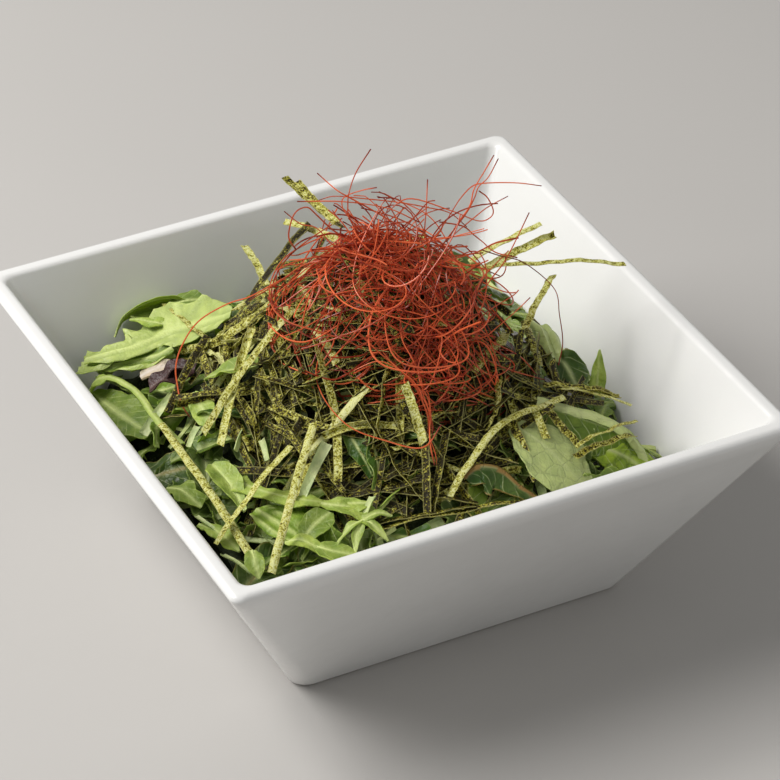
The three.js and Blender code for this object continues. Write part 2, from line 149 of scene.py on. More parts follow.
# the same frames turned about the path: along it, flat across it, and up from it
def turnedFrames(path, turn):
    tangents, normals, sidesway = carriedFrames(path)
    turn = np.broadcast_to(turn, (len(path),))[:, None]
    flat = np.cos(turn) * sidesway + np.sin(turn) * normals
    return tangents, flat, np.cos(turn) * normals - np.sin(turn) * sidesway


def tubeMesh(path, radii, sides):
    _, normals, sidesway = carriedFrames(path)
    turn = (np.arange(sides) * fullTurn / sides)[None, :, None]
    ring = np.cos(turn) * sidesway[:, None, :] + np.sin(turn) * normals[:, None, :]
    points = (path[:, None, :] + ring * radii[:, None, None]).reshape(-1, 3)
    faces, index = skinFaces(len(path), sides)
    return points, [*faces, index[0][::-1].tolist(), index[-1].tolist()]


# a smooth curve through points chosen by hand
def smoothPath(points, steps):
    points = np.array(points, float)
    points = np.vstack([2 * points[0] - points[1], points, 2 * points[-1] - points[-2]])
    path = []
    for t in np.linspace(0, len(points) - 3 - 1e-6, steps):
        k = int(t)
        u = t - k
        a, b, c, d = points[k:k + 4]
        path.append(0.5 * (2 * b + (c - a) * u + (2 * a - 5 * b + 4 * c - d) * u * u
                           + (3 * b - a - 3 * c + d) * u ** 3))
    return np.array(path)


# a slow random wave along t, about -1 to 1
def wave(draw, t, turns=(1, 2, 3)):
    total = 0
    for turn in turns:
        size = draw.uniform(-1, 1)
        total = total + size * np.sin(fullTurn * turn * 0.5 * t + draw.uniform(0, 6.3)) / turn ** 0.7
    return total


def jitter(draw, size, count):
    return np.array([draw.uniform(-size, size) for _ in range(count)])


def newMaterial(name):
    material = bpy.data.materials.new(name)
    material.use_nodes = True
    return material, material.node_tree, material.node_tree.nodes["Principled BSDF"]


# each input gets another node's output, a colour or a number
def feed(tree, node, inputs):
    for name, value in inputs.items():
        socket = node.inputs[name]
        if isinstance(value, bpy.types.NodeSocket):
            tree.links.new(value, socket)
        elif isinstance(value, tuple):
            socket.default_value = (*value, 1.0)
        else:
            socket.default_value = value


def addNode(tree, kind, inputs, **settings):
    node = tree.nodes.new("ShaderNode" + kind)
    for name, value in settings.items():
        setattr(node, name, value)
    feed(tree, node, inputs)
    return node


def mathOf(tree, operation, *values):
    return addNode(tree, "Math", dict(enumerate(values)), operation=operation).outputs[0]


def mixColor(tree, factor, low, high, blend="MIX"):
    inputs = {0: factor, 6: low, 7: high}
    return addNode(tree, "Mix", inputs, data_type="RGBA", blend_type=blend).outputs[2]


def markOf(tree, name):
    return addNode(tree, "Attribute", {}, attribute_name=name).outputs["Fac"]


def placeOf(tree):
    return addNode(tree, "TexCoord", {}).outputs["Object"]


# maps a range of values to another one
def spreadOf(tree, value, low, high, toLow=0.0, toHigh=1.0):
    inputs = {"Value": value, "From Min": low, "From Max": high, "To Min": toLow, "To Max": toHigh}
    return addNode(tree, "MapRange", inputs).outputs["Result"]


def rawNoise(tree, scale, detail, rough=0.5):
    inputs = {"Vector": placeOf(tree), "Scale": scale, "Detail": detail, "Roughness": rough}
    return addNode(tree, "TexNoise", inputs).outputs["Fac"]


def noiseOf(tree, scale, detail, rough=0.5):
    return spreadOf(tree, rawNoise(tree, scale, detail, rough), 0.35, 0.65)


def addBump(tree, shader, height, strength, distance):
    bump = addNode(tree, "Bump", {"Height": height, "Strength": strength, "Distance": distance})
    feed(tree, shader, {"Normal": bump.outputs["Normal"]})


# light that passes through a thin leaf or shred from its other side
def letLightThrough(tree, shader, color, share):
    glow = addNode(tree, "BsdfTranslucent", {"Color": color})
    both = addNode(tree, "MixShader", {0: share, 1: shader.outputs[0], 2: glow.outputs[0]})
    feed(tree, tree.nodes["Material Output"], {"Surface": both.outputs[0]})


cameraLook = {
    "azimuth": -27.07,
    "elevation": 35.45,
    "target": (16.26, 24.1, 38.0),
    "distance": 1342.8,
    "lens": 191.4,
}


def makeCamera():
    az, el = math.radians(cameraLook["azimuth"]), math.radians(cameraLook["elevation"])
    back = Vector((math.sin(az) * math.cos(el), -math.cos(az) * math.cos(el), math.sin(el)))
    data = bpy.data.cameras.new("saladCamera")
    data.lens = cameraLook["lens"]
    data.sensor_width = 36
    data.clip_end = 20
    camera = bpy.data.objects.new("saladCamera", data)
    camera.location = (Vector(cameraLook["target"]) + back * cameraLook["distance"]) * mm
    camera.rotation_euler = (-back).to_track_quat("-Z", "Y").to_euler()
    bpy.context.scene.collection.objects.link(camera)
    bpy.context.scene.camera = camera


makeCamera()


bowl = {
    "rimWidth": 190,
    "baseWidth": 117,
    "height": 75,
    "wall": 6,            # measured level
    "floor": 6,
    "rimCorner": 3.5,     # radius of the corners, seen from above
    "baseCorner": 6,
    "footHollow": 1.5,
    "footWidth": 8,
    "edgeRound": 2.4,
    "lipRound": 2.2,
    "floorFillet": 9,
    "cornerSteps": 14,
    "wallSteps": 14,
    "cornerHold": 1.2,    # a point held this far from each end of a corner keeps the walls flat
    "glazeWhite": (0.79, 0.79, 0.775),
    "glazeThin": (0.74, 0.735, 0.715),
    "bareClay": (0.62, 0.57, 0.50),
    "clouded": 0.965,     # how dark the white gets in its clouds
}
wallRun = (bowl["rimWidth"] - bowl["baseWidth"]) / 2
wallRise = bowl["height"] - bowl["lipRound"]
footOuter = bowl["baseWidth"] / 2 - bowl["edgeRound"] / 2


def outerHalf(z):
    return bowl["baseWidth"] / 2 + wallRun * z / wallRise


def innerHalf(z):
    return outerHalf(z) - bowl["wall"]


def squareRing(half, z):
    share = min(max(z / bowl["height"], 0), 1)
    corner = bowl["baseCorner"] + (bowl["rimCorner"] - bowl["baseCorner"]) * share
    turn = np.linspace(0, math.pi / 2, bowl["cornerSteps"])
    middle, held = half - corner, half - corner - bowl["cornerHold"]
    x = np.concatenate([[half], middle + corner * np.cos(turn), [held]])
    y = np.concatenate([[held], middle + corner * np.sin(turn), [half]])
    level = np.full(len(x), z)
    return np.vstack([np.stack([*side, level], 1) for side in ((x, y), (-y, x), (-x, -y), (y, -x))])


# half width and height of the bowl's skin, from under the foot, over the lip and down to the floor
def bowlProfile():
    lean = math.atan2(wallRun, wallRise)
    lip, fillet, edge, hollow = (
        bowl[name] for name in ("lipRound", "floorFillet", "edgeRound", "footHollow"))
    footInner = footOuter - bowl["footWidth"]
    lipTop = bowl["height"] - lip
    lipHalf = bowl["rimWidth"] / 2 - lip
    filletTop = bowl["floor"] + fillet
    filletHalf = innerHalf(filletTop) - fillet / math.cos(lean)
    profile = [(footInner - hollow - 30, hollow), (footInner - hollow - 2, hollow)]

    def arc(middle, z, radius, start, end, steps):
        for a in np.linspace(start, end, steps):
            profile.append((middle + radius * math.cos(a), z + radius * math.sin(a)))

    arc(footInner - hollow, 0, hollow, math.pi / 2, 0.25, 5)
    profile.append((footInner + 0.6, 0))
    arc(footOuter - edge / 2, edge, edge, -math.pi / 2, -lean, 8)
    lowHalf, low = profile[-1]
    for share in np.linspace(0, 1, bowl["wallSteps"])[1:-1]:
        profile.append((lowHalf + (lipHalf + lip - lowHalf) * share, low + (lipTop - low) * share))
    arc(lipHalf, lipTop, lip, 0, math.pi / 2, 9)
    arc(innerHalf(lipTop) + lip / math.cos(lean), lipTop, lip, math.pi / 2, math.pi - lean, 8)
    for z in np.linspace(lipTop, filletTop, bowl["wallSteps"])[1:-1]:
        profile.append((innerHalf(z), z))
    arc(filletHalf, filletTop, fillet, -lean, -math.pi / 2, 8)
    profile.append((filletHalf - 12, bowl["floor"]))
    return profile


def makeGlaze():
    material, tree, shader = newMaterial("whiteGlaze")
    clouded = tuple(bowl["clouded"] * c for c in bowl["glazeWhite"])
    white = mixColor(tree, noiseOf(tree, 26, 4), bowl["glazeWhite"], clouded)
    thin = mixColor(tree, markOf(tree, "thin"), white, bowl["glazeThin"])
    rough = spreadOf(tree, noiseOf(tree, 90, 2), 0, 1, 0.16, 0.27)
    feed(tree, shader, {
        "Base Color": mixColor(tree, markOf(tree, "bare"), thin, bowl["bareClay"]),
        "Roughness": mathOf(tree, "MAXIMUM", rough, mathOf(tree, "MULTIPLY", markOf(tree, "bare"), 0.8)),
        "Coat Weight": 0.25,
        "Coat Roughness": 0.08,
    })
    addBump(tree, shader, noiseOf(tree, 220, 2), 0.05, 0.0004)
    return material


def makeBowl():
    profile = bowlProfile()
    rings = [squareRing(half, z) for half, z in profile]
    halves, heights = np.array(profile).T
    points, faces = closedSkin(rings, (0, 0, heights[0]), (0, 0, heights[-1]))
    # the glaze pulls thin over the lip, and the ring that it stands on is bare
    thin = np.clip(heights - (bowl["height"] - 1), 0, 1) * 0.5
    bare = ((heights < 0.35) & (halves < footOuter)).astype(float)
    thin, bare = (np.append(np.repeat(mark, len(rings[0])), [0, 0]) for mark in (thin, bare))
    pile = newPile()
    addTo(pile, points, faces, thin=thin, bare=bare)
    makePiece("bowlBody", pile, makeGlaze(), "bowl")


makeBowl()


# keeps points inside the walls, so that what leans on a wall lies flat against it
def heldInside(points, margin=0.35):
    points = np.array(points, float)
    limit = innerHalf(np.clip(points[..., 2], 0, None)) - margin
    low = points[..., 2] < bowl["height"] + 1
    for axis in (0, 1):
        held = np.clip(points[..., axis], -limit, limit)
        points[..., axis] = np.where(low, held, points[..., axis])
    return points


# the heap: the shape that everything in the bowl lies on
heap = {
    "middle": (3, 6),
    "outerLevel": 43,
    "outerTilt": 0.03,
    "bellRise": 50,
    "bellSpread": 50,
    "bellPower": 2.3,
    "wallLine": 43,
    "noriHeight": 8,
    "noriFade": 90,
    "frontward": -1.4,     # direction of the heap's front, in radians
    "frontStretch": 0.12,
    "coreRings": 26,
    "coreSides": 96,
    "coreDepth": 4.5,      # how far the core lies under the leaves, and how much more away from the middle
    "coreDeeper": 2.5,
    "coreShadeDark": (0.012, 0.02, 0.005),
    "coreShadeLight": (0.06, 0.085, 0.022),
}


def reachOf(x, y):
    return np.hypot(x - heap["middle"][0], y - heap["middle"][1])


def greensLevel(x, y):
    bell = np.exp(-((reachOf(x, y) / heap["bellSpread"]) ** heap["bellPower"]))
    return heap["outerLevel"] - heap["outerTilt"] * (x + y) + heap["bellRise"] * bell


def noriLevel(x, y):
    return greensLevel(x, y) + heap["noriHeight"] * np.clip(1 - (reachOf(x, y) / heap["noriFade"]) ** 2, 0, 1)


def heapPlace(angle, reach):
    stretched = reach * (1 + heap["frontStretch"] * math.cos(angle - heap["frontward"]))
    return heap["middle"][0] + stretched * math.cos(angle), heap["middle"][1] + stretched * math.sin(angle)


# lays a path over a surface as something springy lies: it follows the surface less than it could
def layOver(surface, x, y, spring, lift):
    level = surface(x, y)
    run = np.concatenate([[0], np.cumsum(np.hypot(np.diff(x), np.diff(y)))])
    middle = len(x) // 2
    slope = (level[middle + 1] - level[middle - 1]) / (run[middle + 1] - run[middle - 1])
    tangent = level[middle] + slope * (run - run[middle])
    chord = np.interp(run, [run[0], run[-1]], [level[0], level[-1]])
    above = np.maximum(np.maximum(tangent, chord) - level, 0)
    return np.stack([x, y, level + spring * above + lift], 1)


# the inside of the heap: a dark sheet whose colour is painted shade, which shows only in the gaps
def makeCoreShade():
    material, tree, shader = newMaterial("paintedHeapShade")
    # painted shade: the core's colour stands for the shadow deep in the heap
    color = mixColor(tree, noiseOf(tree, 160, 4, 0.6), heap["coreShadeDark"], heap["coreShadeLight"])
    feed(tree, shader, {"Base Color": color, "Roughness": 0.7})
    addBump(tree, shader, noiseOf(tree, 300, 4), 0.6, 0.002)
    return material


def makeHeapCore():
    draw = random.Random(3)
    angles = np.arange(heap["coreSides"]) * fullTurn / heap["coreSides"]
    toX, toY = np.cos(angles), np.sin(angles)
    phases = [(draw.uniform(0.1, 0.45), draw.uniform(0.1, 0.45), draw.uniform(0, 6.3)) for _ in range(7)]

    def rough(x, y):
        return sum(0.55 * np.sin(a * x + c) * np.cos(b * y - c) for a, b, c in phases)

    # a square ring inside the walls, with its corners cut
    def edge(z, margin):
        reach = (innerHalf(z) - margin) / np.maximum(np.abs(toX), np.abs(toY))
        reach = np.minimum(reach, (innerHalf(z) - margin) * 1.33)
        return reach * toX, reach * toY

    floorZ = bowl["floor"] + 0.5
    rings = []
    for z, margin in ((floorZ, 9), (floorZ + 4, 4.5), (floorZ + 9, 1.5), (28, 1.2)):
        x, y = edge(z, margin)
        rings.append(np.stack([x, y, np.full(len(x), z)], 1))
    outerX, outerY = edge(heap["outerLevel"] - 5, 1.2)
    middleX, middleY = heap["middle"]
    for share in np.linspace(0, 0.985, heap["coreRings"]):
        x, y = outerX + (middleX - outerX) * share, outerY + (middleY - outerY) * share
        deep = heap["coreDepth"] + heap["coreDeeper"] * (reachOf(x, y) > 40)
        rings.append(np.stack([x, y, greensLevel(x, y) - deep + 1.3 * rough(x, y)], 1))
    pile = newPile()
    top = (middleX, middleY, greensLevel(middleX, middleY) - 4)
    addTo(pile, *closedSkin(rings, (0, 0, floorZ), top))
    makePiece("heapInside", pile, makeCoreShade(), "salad_greens")


makeHeapCore()


leafShape = {
    "rimAt": 0.93,         # share of the width where the thin rim starts, which is painted pale as a highlight
    "rimWidth": 0.25,      # added to the widths in the lists
    "pleatGap": 3.4,
    # how much darker the pleats' valleys are painted, as shade
    "pleatPaintedShade": 0.45,
    "veinGap": 4.6,
    "veinLean": 1.1,       # how far a side vein runs forwards for each millimetre outwards
    "waveLength": 9,       # of the frill along the edge
    "pressed": 2.5,        # how far under the greens' level a leaf by the right wall may be pressed
    "smooth": 50,          # angle over which an edge is sharp, in degrees
    "brown": (0.34, 0.20, 0.065),
    "net": (0.05, 0.10, 0.02),
}
mizuna = {
    "count": 108,
    "onSlope": 22,
    "length": (20, 44),
    "width": (6, 15),
    "thickness": 0.35,
    "rows": 26,
    "columns": 7,
    "shownRows": 16,         # how many more a leaf with a listed shape has
    "shownColumns": 4,
    "stalkWidth": (1.5, 3.2),
    "rise": (-5, 2),         # of a leaf's base over the heap
    "tip": (-3, 5),
    "slopeLength": (14, 26),
    "slopeWidth": (7, 12),
    "slopeRise": (-3, 0.5),
    "slopeTip": (-2, 2),
    "light": (0.50, 0.62, 0.14),
    "dark": (0.055, 0.13, 0.018),
    "fresh": (0.30, 0.50, 0.025),
    "rib": (0.81, 0.89, 0.36),
    "through": (0.56, 0.72, 0.08),
}
lettuce = {
    "count": 50,
    "onSlope": 16,
    "length": (18, 30),
    "width": (12, 22),
    "thickness": 0.45,
    "rows": 28,
    "columns": 15,
    "shownRows": 10,
    "shownColumns": 6,
    "rise": (-3, 1),
    "tip": (-2, 2),
    "slopeLength": (10, 18),
    "slopeWidth": (9, 15),
    "slopeRise": (-3, 0),
    "slopeTip": (-3, 0),
    "brownShare": 0.1,
    "net": 0.45,             # strength of the net of veins
    "light": (0.50, 0.61, 0.18),
    "dark": (0.035, 0.085, 0.014),
    "fresh": (0.44, 0.62, 0.035),
    "rib": (0.74, 0.80, 0.38),
    "through": (0.46, 0.62, 0.08),
}
purpleBits = {
    "count": 14,
    "light": (0.060, 0.028, 0.030),
    "dark": (0.013, 0.007, 0.009),
    "rib": (0.15, 0.10, 0.09),
}


# thin pale side veins that leave the rib forwards and show more away from it
def veinLines(tree):
    line = mathOf(tree, "COMPARE", mathOf(tree, "FRACT", markOf(tree, "veinPlace")), 0.5, 0.045)
    return mathOf(tree, "MULTIPLY", line, spreadOf(tree, markOf(tree, "wide"), 0.4, 3, 0, 0.38))


# the fine net of veins of a broad leaf, darker than the blade between them
def addNet(tree, color, strength):
    place = placeOf(tree)
    lines = []
    for scale, width in ((170, 0.055), (520, 0.10)):
        cells = addNode(tree, "TexVoronoi", {"Vector": place, "Scale": scale}, feature="DISTANCE_TO_EDGE")
        lines.append(spreadOf(tree, cells.outputs["Distance"], 0, width, 1, 0))
    both = mathOf(tree, "MULTIPLY_ADD", lines[1], 0.45, lines[0])
    netted = mixColor(tree, mathOf(tree, "MULTIPLY", both, strength), color, leafShape["net"])
    return netted, mathOf(tree, "SUBTRACT", 1, both)


def makeLeafLook(name, look):
    material, tree, shader = newMaterial(name)
    tone = mixColor(tree, markOf(tree, "tone"), look["dark"], look["light"])
    if "fresh" in look:
        tone = mixColor(tree, markOf(tree, "fresh"), tone, look["fresh"])
    blotch = mixColor(tree, noiseOf(tree, 260, 4), (0.70, 0.76, 0.66), (1.12, 1.08, 1.02))
    color = mixColor(tree, 1, tone, blotch, "MULTIPLY")
    height = noiseOf(tree, 900, 3)
    if "net" in look:
        color, height = addNet(tree, color, look["net"])
    veins = veinLines(tree)
    color = mixColor(tree, veins, color, look["rib"])
    color = mixColor(tree, markOf(tree, "rib"), color, look["rib"])
    color = mixColor(tree, markOf(tree, "brown"), color, leafShape["brown"])
    feed(tree, shader, {"Base Color": color, "Roughness": 0.32, "Specular IOR Level": 0.3})
    addBump(tree, shader, mathOf(tree, "ADD", height, veins), 0.4, 0.0005)
    if "through" in look:
        letLightThrough(tree, shader, look["through"], 0.3)
    return material


# the salad lies lower along the right wall
def underWallLine(points):
    x, y, z = points[..., 0], points[..., 1], points[..., 2]
    line = np.maximum(heap["wallLine"] + 0.5 * (innerHalf(heap["wallLine"]) - x),
                      greensLevel(x, y) - leafShape["pressed"])
    points[..., 2] = np.where(z > line, line + 0.1 * (z - line), z)
    return points


# a leaf about a spine: its width on either side is read from a short list that runs from base to tip
def addBlade(pile, draw, path, left, right, tone, columns, thickness, roll=0, twist=0, cup=0.1,
             frill=0.5, sweep=0.25, rib=1.2, brown=0, crease=0, pleat=0, fresh=0, pale=0, low=False):
    rows = len(path)
    t = np.linspace(0, 1, rows)
    v = np.concatenate([[-1], np.linspace(-leafShape["rimAt"], leafShape["rimAt"], columns - 2), [1]])
    length = np.linalg.norm(np.diff(path, axis=0), axis=1).sum()
    tangents, flat, rise = turnedFrames(path, roll + twist * (t - 0.3))
    widths = {side: np.interp(t, np.linspace(0, 1, len(table)), table)
              for side, table in ((-1, left), (1, right))}
    widest = max(*left, *right, 1)
    phases = [draw.uniform(0, 6.3) for _ in range(4)]
    pleats = fullTurn / leafShape["pleatGap"]
    along = t * length / leafShape["waveLength"]
    grid = np.zeros((rows, columns, 3))
    for j, across in enumerate(v):
        side = -1 if across < 0 else 1
        reach = across * (widths[side] + leafShape["rimWidth"])
        wide = np.abs(reach)
        fromRib = wide / widest
        up = cup * wide + crease * np.minimum(wide, 2.5) + pleat * np.cos(pleats * wide)
        up = up + frill * fromRib ** 1.5 * np.sin(along * 5 + phases[0] + side)
        up = up + 0.22 * np.sin(along * 9 + wide * 0.9 + phases[1]) * np.minimum(fromRib * 2, 1)
        up = up + 0.16 * np.sin(wide * 1.7 - along * 4 + phases[2]) * np.minimum(fromRib * 2, 1)
        grid[:, j] = path + flat * reach[:, None] + rise * up[:, None] + tangents * (sweep * wide)[:, None]
    if low:
        grid = underWallLine(grid)
    points, faces = sheetMesh(heldInside(grid), thickness)
    edge = np.tile(np.abs(v) > 0.99, rows).astype(float)
    along = np.repeat(t, columns)
    wide = np.abs(np.stack([np.where(v < 0, a, b) for a, b in zip(widths[-1], widths[1])]) * v).ravel()
    ribbed = np.exp(-(wide / (0.5 * rib + 0.05)) ** 2) * (1 - 0.5 * along)
    # painted highlight: the leaf's rim is lighter
    tones = tone + (0.5 - 0.2 * tone) * edge + 0.10 * np.sin(3 * along + phases[3])
    if pleat:
        ribbed = np.maximum(ribbed, 0.75 * np.clip(np.cos(pleats * wide), 0, 1) ** 3)
        # painted shade in the pleats' valleys
        tones = tones - leafShape["pleatPaintedShade"] * (0.5 - 0.5 * np.cos(pleats * wide))
    marks = {
        "tone": np.clip(tones, 0, 1),
        "rib": np.clip(np.maximum(ribbed, pale), 0, 1),
        "fresh": np.full(len(wide), fresh),
        "veinPlace": (along * length - leafShape["veinLean"] * wide) / leafShape["veinGap"],
        "wide": wide * (not pleat),
        "brown": np.clip(edge + (wide < 0.8), 0, 1) * brown,
    }
    addTo(pile, points, faces, **{name: np.tile(value, 2) for name, value in marks.items()})


def addRib(pile, path, base, tip, pale):
    sides = 5
    t = np.linspace(0, 1, len(path))
    points, faces = tubeMesh(heldInside(path, base / 2 + 0.4), base / 2 + (tip - base) / 2 * t ** 0.8, sides)
    ribbed = np.repeat(np.clip(pale - 0.3 * t, 0, 1), sides)
    addTo(pile, points, faces, tone=0.9, rib=ribbed, brown=0, fresh=0, veinPlace=0, wide=0)


# side widths of a toothed leaf: lobes that rise slowly and end in a notch
def toothedWidths(draw, width, teeth, depth, stalk, steps):
    blade = np.clip((np.linspace(0, 1, steps) - stalk) / (1 - stalk), 0, 1)
    outline = np.sin(math.pi * np.clip(0.05 + 0.92 * blade, 0, 1)) ** 0.6 * (blade > 0)
    saw = (blade * teeth + draw.uniform(0, 1)) % 1.0
    lobe = np.where(saw < 0.68, saw / 0.68, (1 - saw) / 0.32) ** 1.1
    ends = range(math.ceil(teeth) + 2)
    heights = np.interp(blade * teeth, ends, [draw.uniform(0.6, 1) for _ in ends])
    return width / 2 * outline * heights * (1 - depth + depth * lobe)


# spine of a leaf that lies on the heap: it starts at a place and runs along a heading, arching
def leafSpine(draw, x, y, heading, length, rise, tip, arch, steps):
    t = np.linspace(0, 1, steps)
    turn = heading + draw.uniform(-0.9, 0.9) * (t - 0.3)
    px = x + length * np.concatenate([[0], np.cumsum(np.cos(turn[1:]))]) / (steps - 1)
    py = y + length * np.concatenate([[0], np.cumsum(np.sin(turn[1:]))]) / (steps - 1)
    lift = rise + (tip - rise) * t ** 1.4 + arch * np.sin(math.pi * t)
    return underWallLine(layOver(greensLevel, px, py, 0.5, lift))


# a deeply toothed blade on a pale stalk
def addMizuna(pile, draw, path, width, tone, roll):
    stalk = draw.uniform(0, 0.35)
    teeth, depth = draw.uniform(2.5, 4.5), draw.uniform(0.55, 0.85)
    left, right = (toothedWidths(draw, width, teeth + k * 0.7, depth, stalk, len(path)) for k in (0, 1))
    bends = {name: draw.uniform(*ends) for name, ends in (
        ("twist", (-0.9, 0.9)), ("cup", (-0.25, 0.55)), ("frill", (0.4, 1.6)), ("sweep", (0.2, 0.6)))}
    fresh = draw.choice((0, 0, 0.3, 0.8)) * min(1, 2 * tone)
    addBlade(pile, draw, path, left, right, tone, mizuna["columns"], mizuna["thickness"], roll, rib=0.8,
             fresh=fresh, low=True, **bends)
    base = draw.uniform(*mizuna["stalkWidth"])
    addRib(pile, path - np.array([0, 0, 0.2]), base, 0.3, draw.uniform(0.5, 1))


# a rounded piece of a broad leaf
def addBroad(pile, draw, path, width, tone, roll, brown, ruffle, cup):
    swell = np.sin(math.pi * (0.08 + 0.84 * np.linspace(0, 1, 12))) ** 0.5
    sides = [width / 2 * swell * np.array([draw.uniform(0.82, 1.05) for _ in swell]) for _ in range(2)]
    twist = draw.uniform(-0.5, 0.5)
    fresh = draw.choice((0, 0, 0.5)) * min(1, 2 * tone)
    addBlade(pile, draw, path, *sides, tone, lettuce["columns"], lettuce["thickness"], roll, twist, cup,
             ruffle, sweep=0.1, rib=1.6, brown=brown, crease=0.15, fresh=fresh, low=True)


# a place for a loose leaf: everywhere on the greens, thinner where nori lies thick
def leafPlace(draw):
    limit = innerHalf(heap["outerLevel"]) - 3
    noneWithin, fadesFrom, fadeWidth = 34, 24, 36
    while True:
        x, y = draw.uniform(-limit, limit), draw.uniform(-limit, limit)
        reach = reachOf(x, y)
        if reach > noneWithin and draw.random() < min(1, (reach - fadesFrom) / fadeWidth):
            return x, y


# spine of a leaf whose middle lies about a place, and its height as a share, 0 for the lowest
def looseSpine(draw, look, x, y, length):
    heading = draw.uniform(0, fullTurn)
    x, y = x - 0.5 * length * math.cos(heading), y - 0.5 * length * math.sin(heading)
    rise, (lowest, highest) = draw.uniform(*look["rise"]), look["rise"]
    tip, arch = draw.uniform(*look["tip"]), draw.uniform(0, 3)
    path = leafSpine(draw, x, y, heading, length, rise, tip, arch, look["rows"])
    return path, (rise - lowest) / (highest - lowest)


# spine of a leaf on the slope behind the tangle, where few strips lie
def slopeSpine(draw, look):
    x, y, heading = draw.uniform(20, 60), draw.uniform(-14, 50), draw.uniform(0, fullTurn)
    length, rise, tip = (draw.uniform(*look[name]) for name in ("slopeLength", "slopeRise", "slopeTip"))
    return leafSpine(draw, x, y, heading, length, rise, tip, draw.uniform(0, 2), look["rows"])


def makeGreens(name, pile, lookName, look):
    makePiece(name, pile, makeLeafLook(lookName, look), "salad_greens", leafShape["smooth"])


def shaped(spine, left, right, tone, **bends):
    return dict(bends, spine=spine, left=left, right=right, tone=tone)
